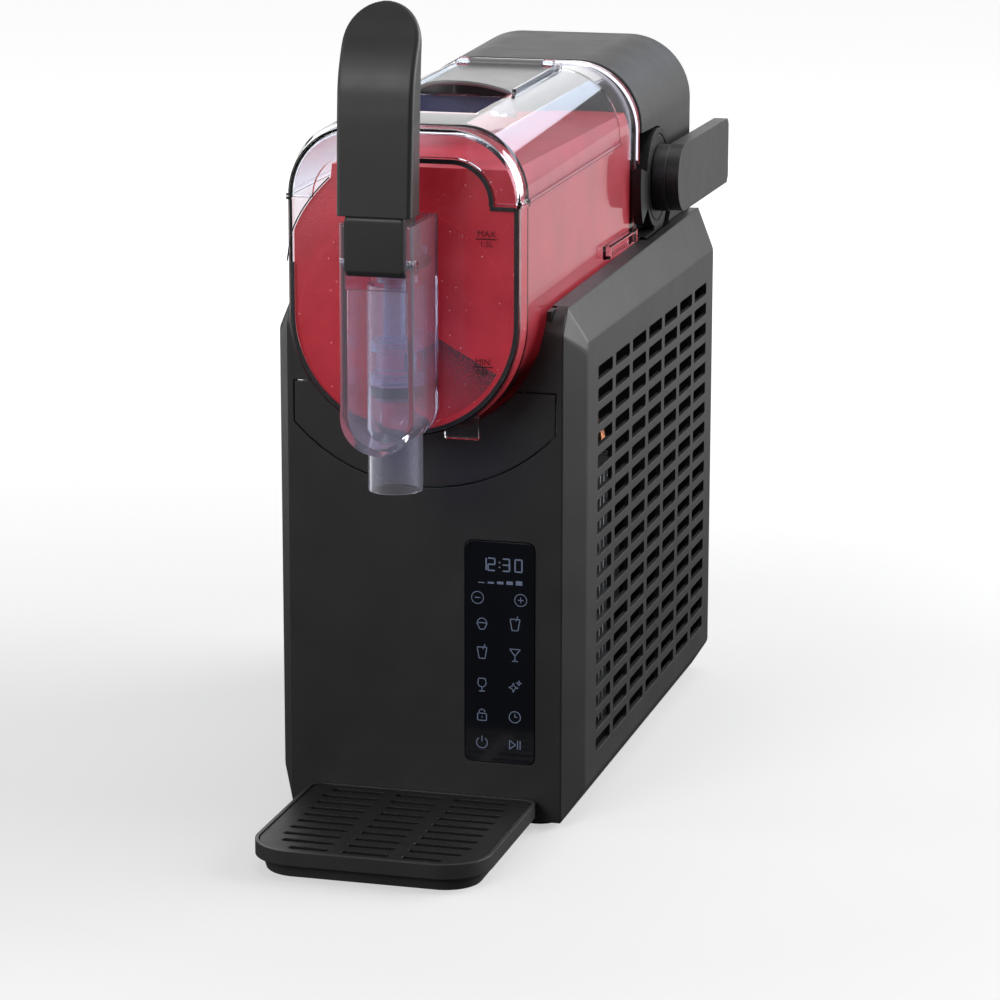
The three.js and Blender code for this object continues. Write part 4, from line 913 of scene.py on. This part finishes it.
def make_column():
    back = BOWL_FRONT - 1.2
    column = prism("y", column_outline(0, COLUMN_TOP), COLUMN_FRONT, back, 1.5, 4)
    inner = prism("y", column_outline(COLUMN_WALL, 400), COLUMN_FRONT + COLUMN_WALL,
                  back - COLUMN_WALL, 1.2, 4)
    half = COLUMN_HALF - COLUMN_WALL
    window = slab(COLUMN_FRONT - 1, COLUMN_FRONT + COLUMN_WALL + 1, COLUMN_FRONT_TOP, 400, -half, half)
    column = cut(column, inner, window)
    column = join(column, rod("z", 13.8, SPOUT_LOW, 292, 0, VALVE_Y, 0.6, 72))
    return cut(
        column,
        rod("z", 12.2, SPOUT_LOW - 1, 293, 0, VALVE_Y, 0, 72),
        slab(VALVE_Y, back + 1, PORT_LOW, PORT_HIGH, -PORT_HALF, PORT_HALF),
        rod("x", 2.3, -30, 30, PIN_Y, PIN_Z, 0, 32),
    )


HANDLE_HALF, GRIP_LOW = 19.6, 330.2
HANDLE_ROUND = HANDLE_TOP - HANDLE_HALF  # where the half-round top begins
HANDLE_SIDE = [  # height, front and back of the grip at that height
    (GRIP_LOW, -85.5, -68.9), (345, -84.7, -68.75), (363, -83.8, -68.6), (378, -82.9, -67.9),
    (392, -81.5, -67.1), (399, -79.6, -66.7), (406, -76.6, -66.2), (411, -74.0, -65.6), (415, -71.5, -65.1),
    (419, -69.2, -64.4), (423, -66.9, -62.8), (427, -64.4, -61.0), (430, -62.5, -59.6),
    (HANDLE_TOP, -61.4, -58.8),
]


def handle_ring(z, front, back):
    """A rounded slice of the grip, which follows the half-round top."""
    if z <= HANDLE_ROUND:
        half = 19 + 0.6 * (z - GRIP_LOW) / (HANDLE_ROUND - GRIP_LOW)
    else:
        half = max(sqrt(max(HANDLE_HALF**2 - (z - HANDLE_ROUND) ** 2, 0)), 2.2)
    depth = back - front
    r = min(2.6, depth * 0.42, half * 0.9)
    return [(x, y, z) for x, y in rounded(-half, half, front, back, r, 5)]


def interpolate(rows, z):
    for low, high in zip(rows, rows[1:]):
        if low[0] <= z <= high[0]:
            t = (z - low[0]) / (high[0] - low[0])
            return [a + t * (b - a) for a, b in zip(low[1:], high[1:])]
    return list(rows[-1][1:])


def make_handle():
    """The grip, the hub between the column's walls and the two arms that lift the plunger."""
    heights = [GRIP_LOW] + [331 + 81.0 * i / 26 for i in range(27)]
    heights += [HANDLE_ROUND + HANDLE_HALF * sin(radians(90 * i / 16)) for i in range(1, 17)]
    heights = sorted(set(round(z, 3) for z in heights))
    rings = [handle_ring(z, *interpolate(HANDLE_SIDE, z)) for z in heights]
    grip = loft(rings)
    hub = prism("x", rounded(-84.8, -64, 300.4, 331.2, 3.5), -15, 15, 1.6, 4)
    arms = [block(x, x + 4.8, -66, -44, 301.5, 306.4, 0.7) for x in (-14.8, 10.0)]
    return cut(join(grip, hub, *arms), rod("x", 2.4, -30, 30, PIN_Y, PIN_Z, 0, 32))


def make_plunger():
    def disc(r, low, high, soft=0.4):
        return rod("z", r, low, high, 0, VALVE_Y, soft, 48)

    return join(
        disc(9, 234, 236), disc(6, 235, 243, 0), disc(11.8, 242, 247.5), disc(8.5, 247, 260, 0),
        disc(11.8, 259, 264), disc(5.5, 263, 294, 0), disc(9, 293.2, 300),
        block(-5, 5, VALVE_Y - 2, VALVE_Y + 2, 299, 309.4, 0.4),
        rod("x", 2.5, -14, 14, VALVE_Y, 309.4, 0.5, 32),
    )


# ---------------- lock
def make_cam():
    def turn(r, start, stop):
        return arc(LOCK_Y, LOCK_Z, r, start, stop, 24)

    disc = lock_rod(LOCK_R, 57.5, HOOK_X1, 0.9, 96)
    web = prism("x", turn(HOOK_OUT, HOOK_FROM, HOOK_TO) + turn(LOCK_R - 3, HOOK_TO, HOOK_FROM),
                HOOK_X1 - HOOK_WEB, HOOK_X1, 0.3)
    lip = prism("x", turn(HOOK_OUT, HOOK_FROM, HOOK_TO) + turn(HOOK_IN, HOOK_TO, HOOK_FROM), HOOK_X0,
                HOOK_X1, 0.5)
    groove = cut(lock_rod(24.6, HOOK_X1 - 0.6, HOOK_X1 + 1),
                 lock_rod(23.6, HOOK_X1 - 2, HOOK_X1 + 2))
    return cut(join(disc, web, lip), groove, lock_rod(LOCK_BORE, 50, 80, 0, 32))


def make_lever():
    bar, z = 18.85, LOCK_Z + 0.3
    paddle = (
        arc(LOCK_Y + 2.4, z, bar, 90, 270, 40)
        + arc(LOCK_END - 3, z - bar + 3, 3, 270, 360, 8)
        + arc(LOCK_END - 3, z + bar - 3, 3, 0, 90, 8)
    )
    lever = lock_rod(18.7, HOOK_X1 + GAP, 75, 0.6, 96)
    grip = prism("x", paddle, 74.3, HALF_WIDTH, 1.1, 4)
    return cut(join(lever, grip), lock_rod(LOCK_BORE, 50, 75.5, 0, 32))


# ---------------- housing pieces
def deck_at(y):
    return DECK_FRONT + (DECK_BACK - DECK_FRONT) * y / BODY_DEPTH


def hood_ring(y, inset, place=None):
    share = (y - HOOD_FRONT) / (BODY_DEPTH - HOOD_FRONT)
    half, top = 64.9 + 3.1 * share - inset, 375.5 + 3.6 * share - inset - AXIS_Z
    return [(x, y if place is None else place, z) for x, z in barrel(half, top, BOWL_CORNER - inset, 12)]


def make_hood():
    """The hood over the motor, its back edge rolled."""
    roll = 4.0
    rings = [hood_ring(HOOD_FRONT, 0.5), hood_ring(HOOD_FRONT + 0.5, 0), hood_ring(BODY_DEPTH - roll, 0)]
    for i in range(1, 8):
        a = radians(90 * i / 7)
        rings.append(hood_ring(BODY_DEPTH - roll + roll * sin(a), roll * (1 - cos(a))))
    shell = cut(
        loft(rings),
        loft([hood_ring(HOOD_FRONT, SKIN, HOOD_FRONT - 1),
                             hood_ring(BODY_DEPTH - SKIN, SKIN)]),
        prism("x", [(0, 0), (400, 0), (400, deck_at(400)), (0, deck_at(0))], -100, 100),
    )
    corner = block(HOOK_X0 - 0.5, 70, HOOD_FRONT - 1, LOCK_Y, 262, LOCK_Z + LOCK_R + 0.8)
    hole = lock_rod(LOCK_R + 0.8, 40, 90, 0, 96)
    return cut(shell, hole, hook_path(), corner)


GRILLE_Y0, GRILLE_STEP_Y, GRILLE_HOLE_Y, GRILLE_COLUMNS = 37.8, 38.6, 31.7, 7
GRILLE_Z0, GRILLE_STEP_Z, GRILLE_HOLE_Z, GRILLE_ROWS = 31.0, 11.75, 7.2, 18


def panel_ring(corners, r, x):
    """A ring with round corners at x, given as (y, z)."""
    points = []
    count = len(corners)
    for i, (y, z) in enumerate(corners):
        before, after = Vector(corners[i - 1]), Vector(corners[(i + 1) % count])
        here = Vector((y, z))
        a = here + (before - here).normalized() * r
        b = here + (after - here).normalized() * r
        for k in range(5):
            t = k / 4
            points.append(a.lerp(here, t).lerp(here.lerp(b, t), t))
    return [(x, p.x, p.y) for p in points]


def panel_rim(inset):
    return [
        (inset, HOUSING_LOW + inset), (BODY_DEPTH - inset, HOUSING_LOW + inset),
        (BODY_DEPTH - inset, deck_at(BODY_DEPTH) - inset), (inset + RIM_LEAN, deck_at(0) - inset),
        (inset, RIM_BEND - inset)]


def panel_face(inset):
    return [
        (FACE_FRONT + inset, FACE_LOW + inset), (BODY_DEPTH - inset, FACE_LOW + inset),
        (BODY_DEPTH - inset, FACE_HIGH - inset), (FACE_FRONT + inset, FACE_HIGH - inset),
        (FACE_FRONT + inset, FACE_HIGH - inset - FACE_STEP)]


def make_side_panel(side):
    """A dished panel with wide bevels and a grille of round-cornered holes."""
    inner = FASCIA_HALF + 0.05
    span = HALF_WIDTH - inner

    def between(share, inset):
        pairs = zip(panel_rim(inset), panel_face(inset))
        return [(a[0] + share * (b[0] - a[0]), a[1] + share * (b[1] - a[1])) for a, b in pairs]

    rings = [
        panel_ring(panel_rim(0), 1.2, side * inner),
        panel_ring(between(0.93, 0), 2.0, side * (inner + 0.93 * span)),
        panel_ring(between(0.985, 0.35), 2.2, side * (inner + 0.985 * span)),
        panel_ring(panel_face(1.1), 2.4, side * HALF_WIDTH),
    ]
    hollow = [
        panel_ring(panel_rim(SKIN), 1.2, side * (inner - 1)),
        panel_ring(panel_rim(SKIN), 1.2, side * inner),
        panel_ring(panel_face(SKIN), 1.2, side * (HALF_WIDTH - SKIN)),
    ]
    holes = []
    low, high = sorted((side * (HALF_WIDTH - 2 * SKIN), side * (HALF_WIDTH + 1)))
    for c in range(GRILLE_COLUMNS):
        for r in range(GRILLE_ROWS):
            y, z = GRILLE_Y0 + c * GRILLE_STEP_Y, GRILLE_Z0 + r * GRILLE_STEP_Z
            outline = rounded(y, y + GRILLE_HOLE_Y, z, z + GRILLE_HOLE_Z, 1.5, 4)
            holes.append(prism("x", outline, low, high))
    return cut(cut(loft(rings), loft(hollow)), gather(holes))


def make_panels():
    for side, label in ((-1, "left"), (1, "right")):
        settle(f"panel_{label}_charcoal", make_side_panel(side), "housing", "charcoal",
               [f"side_panel_{label}"], angle=24)


def tray_outline(inset):
    x, y0, y1 = TRAY_HALF - inset, TRAY_FRONT + inset, -0.5 - inset
    front, back = 24 - inset, max(8 - inset, 1)
    return (
        arc(-x + front, y0 + front, front, 180, 270, 20)
        + arc(x - front, y0 + front, front, 270, 360, 20)
        + arc(x - back, y1 - back, back, 0, 90, 10)
        + arc(-x + back, y1 - back, back, 90, 180, 10)
    )


def make_tray():
    def ring(inset, z):
        return [(x, y, z) for x, y in tray_outline(inset)]

    foot = loft([ring(6.0, 0), ring(5.5, 0.5), ring(3.4, BAND_LOW + 0.5)])
    band = prism("z", tray_outline(0), BAND_LOW, TRAY_HEIGHT, 0.9, 4)
    tray = join(foot, band)
    tray = cut(tray, prism("z", tray_outline(7.6), 2, 20, 0.8),
               prism("z", tray_outline(1.9), 11, 20))
    tongues = [block(x - 6, x + 6, -4, 5, 5.4, 8.2, 0.4) for x in (-35, 35)]
    return join(tray, *tongues)


def make_grille():
    """The drip grille, its slots rounded at their ends."""
    slots = []
    for row in range(1, 11):
        y = -10.6 * row
        reach = {1: 47, 2: 49.5, 9: 47, 10: 40}.get(row, 49.5)
        for x0, x1 in ((-reach, -19), (-12.5, 12.5), (19, reach)):
            slots.append(prism("z", rounded(x0, x1, y - 2.2, y + 2.2, 2.19, 7), 5, 20))
    return cut(prism("z", tray_outline(2.4), 11.4, 14.5, 0.7), gather(slots))


# ---------------- markings
MARK_Y = BOWL_FRONT - 0.05
LEVELS = (("max", 43, 313.7, "MAX", "1.5L"), ("min", 41, 249.4, "MIN", "0.6L"))
ICON_Y, ICON_LEFT, ICON_RIGHT = -0.26, 31.0, 48.6  # the panel's face and its two columns
LINE, FINE, HAIR = 0.5, 0.45, 0.42  # stroke widths
SYMBOLS = (  # height, left and right symbol of each row
    (108.0, "dome", "cup"), (92.0, "cup", "glass"), (74.8, "wine", "spark"), (58.6, "padlock", "clock"),
    (43.6, "power", "play"))
DIGIT_LOW, DIGIT_HIGH, DIGIT_WIDE, SCALE_Z, KEYS_Z = 136.2, 6.4, 3.6, 129.4, 121.3
DIGIT_BARS = {
    "a": ((0, 1), (1, 1)), "b": ((0, 0.5), (0, 1)), "c": ((1, 0.5), (1, 1)), "d": ((0, 0.5), (1, 0.5)),
    "e": ((0, 0), (0, 0.5)), "f": ((1, 0), (1, 0.5)), "g": ((0, 0), (1, 0))}
DIGITS = {"0": "abcefg", "1": "cf", "2": "acdeg", "3": "acdfg"}


def strip(bm, start, end, width, y):
    """A flat bar between two points (x, z), facing forward."""
    a, b = Vector(start), Vector(end)
    side = (b - a).orthogonal().normalized() * width / 2
    bm.faces.new([bm.verts.new(at(p.x, y, p.y)) for p in (a - side, b - side, b + side, a + side)])


def mark(name, piece, material, body):
    """Gives a printed or lit marking its name, material and body."""
    piece.name = piece.data.name = name
    piece.data.materials.append(MATERIALS[material])
    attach(piece, body)


def letters(name, text, size, x, z):
    """Plain lettering laid flat on the bowl's front, centred on (x, z)."""
    curve = bpy.data.curves.new(name, "FONT")
    curve.body, curve.size = text, size * MM
    curve.align_x, curve.align_y = "CENTER", "CENTER"
    made = added(name, curve)
    made.matrix_world = Matrix.Translation(at(x, MARK_Y, z)) @ Matrix.Rotation(radians(90), 4, "X")
    mark(name, made, "mark", "bowl")


def make_level_marks():
    """The two filling levels: a line with its name above and the volume below."""
    bm = bmesh.new()
    for _, x, z, _, _ in LEVELS:
        strip(bm, (x - 5.5, z), (x + 5.5, z), 0.55, MARK_Y)
    mark("level_lines", object_from(bm), "mark", "bowl")
    for name, x, z, upper, lower in LEVELS:
        letters(f"level_{name}_name", upper, 4.4, x, z + 2.5)
        letters(f"level_{name}_volume", lower, 4.0, x, z - 2.6)


def star(cx, cz, r):
    """Four points round (cx, cz) with hollows between them."""
    arms = [(r if i % 2 == 0 else r * 0.35, radians(45 * i)) for i in range(8)]
    return [(cx + arm * cos(a), cz + arm * sin(a)) for arm, a in arms]


def symbol_strokes():
    """The touch symbols round (0, 0), as strokes of (width, whether closed, points)."""
    ring, dash = (HAIR, True, circle(0, 0, 3.2, 24)), (FINE, False, [(-1.5, 0), (1.5, 0)])
    foot = (LINE, False, [(-1.6, -3.4), (1.6, -3.4)])
    return {
        "less": [ring, dash],
        "more": [ring, dash, (FINE, False, [(0, -1.5), (0, 1.5)])],
        "cup": [(LINE, True, [(-2.6, 3), (-1.6, -3), (1.6, -3), (2.6, 3)]),
                (LINE, False, [(0.4, 2), (1.6, 4.6)])],
        "dome": [(LINE, True, [(-2.8, 0), (-1.2, -3.4), (1.2, -3.4), (2.8, 0)]),
                 (LINE, False, arc(0, 0, 2.5, 0, 180, 10))],
        "glass": [(LINE, True, [(-2.8, 3), (0, -0.6), (2.8, 3)]),
                  (LINE, False, [(0, -0.6), (0, -3.4)]), foot],
        "wine": [(LINE, True, arc(0, 1, 2.2, 180, 360, 10) + [(1.8, 3.4), (-1.8, 3.4)]),
                 (LINE, False, [(0, -1.2), (0, -3.4)]), foot],
        "spark": [(HAIR, True, star(-0.8, -0.4, 2.6)), (HAIR, True, star(2.2, 2.2, 1.4))],
        "padlock": [(LINE, True, rounded(-2.4, 2.4, -3, 0.8, 0.6, 3)),
                    (LINE, False, arc(0, 1.4, 1.6, 0, 180, 8)), (LINE, False, [(0, -1.6), (0, -0.6)])],
        "clock": [(LINE, True, circle(0, 0, 3, 22)), (FINE, False, [(0, 1.8), (0, 0), (1.4, 0)])],
        "power": [(LINE, False, arc(0, 0, 2.9, 125, 415, 22)), (LINE, False, [(0, 0.6), (0, 3.6)])],
        "play": [(LINE, True, [(-2.8, -2.4), (0.4, 0), (-2.8, 2.4)]),
                 (LINE, False, [(1.5, -2.4), (1.5, 2.4)]), (LINE, False, [(2.9, -2.4), (2.9, 2.4)])],
    }


def draw(bm, strokes, x, z):
    for width, closed, points in strokes:
        moved = [(x + a, z + b) for a, b in points + points[:1] * closed]
        for start, end in zip(moved, moved[1:]):
            strip(bm, start, end, width, ICON_Y)


def make_display(bm):
    """A generic time and a scale of five bars."""
    for text, x in (("1", 29.6), ("2", 34.2), ("3", 42.0), ("0", 48.6)):
        for key in DIGITS[text]:
            bar = [(x + a * DIGIT_WIDE, DIGIT_LOW + b * DIGIT_HIGH) for a, b in DIGIT_BARS[key]]
            strip(bm, *bar, 0.75, ICON_Y)
    for z in (DIGIT_LOW + 1.9, DIGIT_LOW + 4.4):
        strip(bm, (39.9, z), (40.7, z), 0.8, ICON_Y)
    for i in range(5):
        x, z = 29.0 + i * 5.0, SCALE_Z + 0.22 * i
        strip(bm, (x, z), (x + 3.4, z), 0.5 + 0.45 * i, ICON_Y)


def make_icons():
    """The panel's display and touch symbols, without any words."""
    bm = bmesh.new()
    make_display(bm)
    strokes = symbol_strokes()
    draw(bm, strokes["less"], ICON_LEFT - 2.4, KEYS_Z)
    draw(bm, strokes["more"], ICON_RIGHT + 3.0, KEYS_Z)
    for z, left, right in SYMBOLS:
        draw(bm, strokes[left], ICON_LEFT, z)
        draw(bm, strokes[right], ICON_RIGHT, z)
    mark("panel_symbols", object_from(bm), "icon", "housing")


def make_screws():
    """Cross-head screws that hold the rear cover."""
    screws = []
    for x, z in ((-66, 12), (66, 12), (-66, 140), (66, 140), (-66, 266), (66, 266)):
        head = rod("y", 3.1, BODY_DEPTH - 0.6, BODY_DEPTH + 1.1, x, z, 0.6, 32)
        slots = [slab(BODY_DEPTH + 0.2, BODY_DEPTH + 3, z - b, z + b, x - a, x + a)
                 for a, b in ((2, 0.4), (0.4, 2))]
        screws.append(cut(head, *slots))
    settle("rear_screws", gather(screws), "housing", "steel")


# ---------------- assembly
def dress_nodes():
    groups = {
        "charcoal": "front_fascia rear_cover cradle_deck condensation_tray",
        "black": "base_pan bulkhead power_inlet fan_shroud fan_blades auger_nut",
        "rubber": "foot_front_left foot_front_right foot_rear_left foot_rear_right shaft_seal plunger_seal "
                  "bowl_gasket",
        "glass": "control_glass",
        "board": "control_board main_board",
        "steel": "handle_pin flap_hinge_pin lock_pivot compressor_bracket fan_motor gear_motor",
        "turned": "evaporator_drum drive_shaft shaft_bearing motor_pinion",
        "copper": "evaporator_coil filter_drier discharge_pipe suction_pipe liquid_pipe",
        "cast": "gearbox_case gearbox_cover condenser",
        "white": "nose_bushing drive_gear",
        "paint": "compressor",
        "auger": "auger",
    }
    for material, names in groups.items():
        for name in names.split():
            dress(name, material)


def main():
    make_camera()
    make_materials()
    make_floor()
    make_lights()
    dress_nodes()
    make_panels()
    settle("hood_charcoal", make_hood(), "housing", "charcoal", ["motor_hood"], angle=24)
    settle("bowl_clear", make_tub(), "bowl", "clear", ["bowl_tub"], angle=26)
    settle("slush_body", make_slush(), "bowl", "slush", ["slush_fill"])
    settle("slush_front", make_slush_front(), "auger_drive", "slush_front")
    # dark strips of painted shade along the edges of the clear plastic
    lines = (
        ("bowl_edge_shade", make_tub_edge_shade, "bowl"), ("lid_edge_shade", make_lid_edge_shade, "lid"),
        ("shoulder_shade", make_shoulder_shade, "bowl"), ("column_root_shade", make_column_root_shade, "bowl"))
    for name, make, body in lines:
        settle(name, make(), body, "line")
    settle("flange_painted_highlight", make_flange_highlight(), "bowl", "bright")
    settle("flap_lip_shade", make_flap_lip_shade(), "flap", "lip")
    settle("scoop_painted_reflection", make_scoop_reflection(), "lid", "scoop")
    settle("column_clear", make_column(), "bowl", "column", ["tap_column"], angle=26)
    settle("lid_clear", make_lid(), "lid", "lid", ["bowl_lid"], angle=26)
    settle("flap_smoke", make_flap(), "flap", "flap", ["fill_flap"], angle=40)
    settle("handle_charcoal", make_handle(), "handle", "handle", ["tap_handle"], angle=30)
    settle("disc", make_plunger(), "plunger", "valve", ["tap_plunger"])
    settle("cam_black", make_cam(), "lock", "black", ["lock_cam"])
    settle("lever_charcoal", make_lever(), "lock", "charcoal", ["lock_lever"])
    settle("tray_charcoal", make_tray(), "tray", "tray", ["drip_tray"], angle=28)
    settle("grille_black", make_grille(), "grille", "black", ["drip_grille"], angle=28)
    make_level_marks()
    make_icons()
    make_screws()


main()
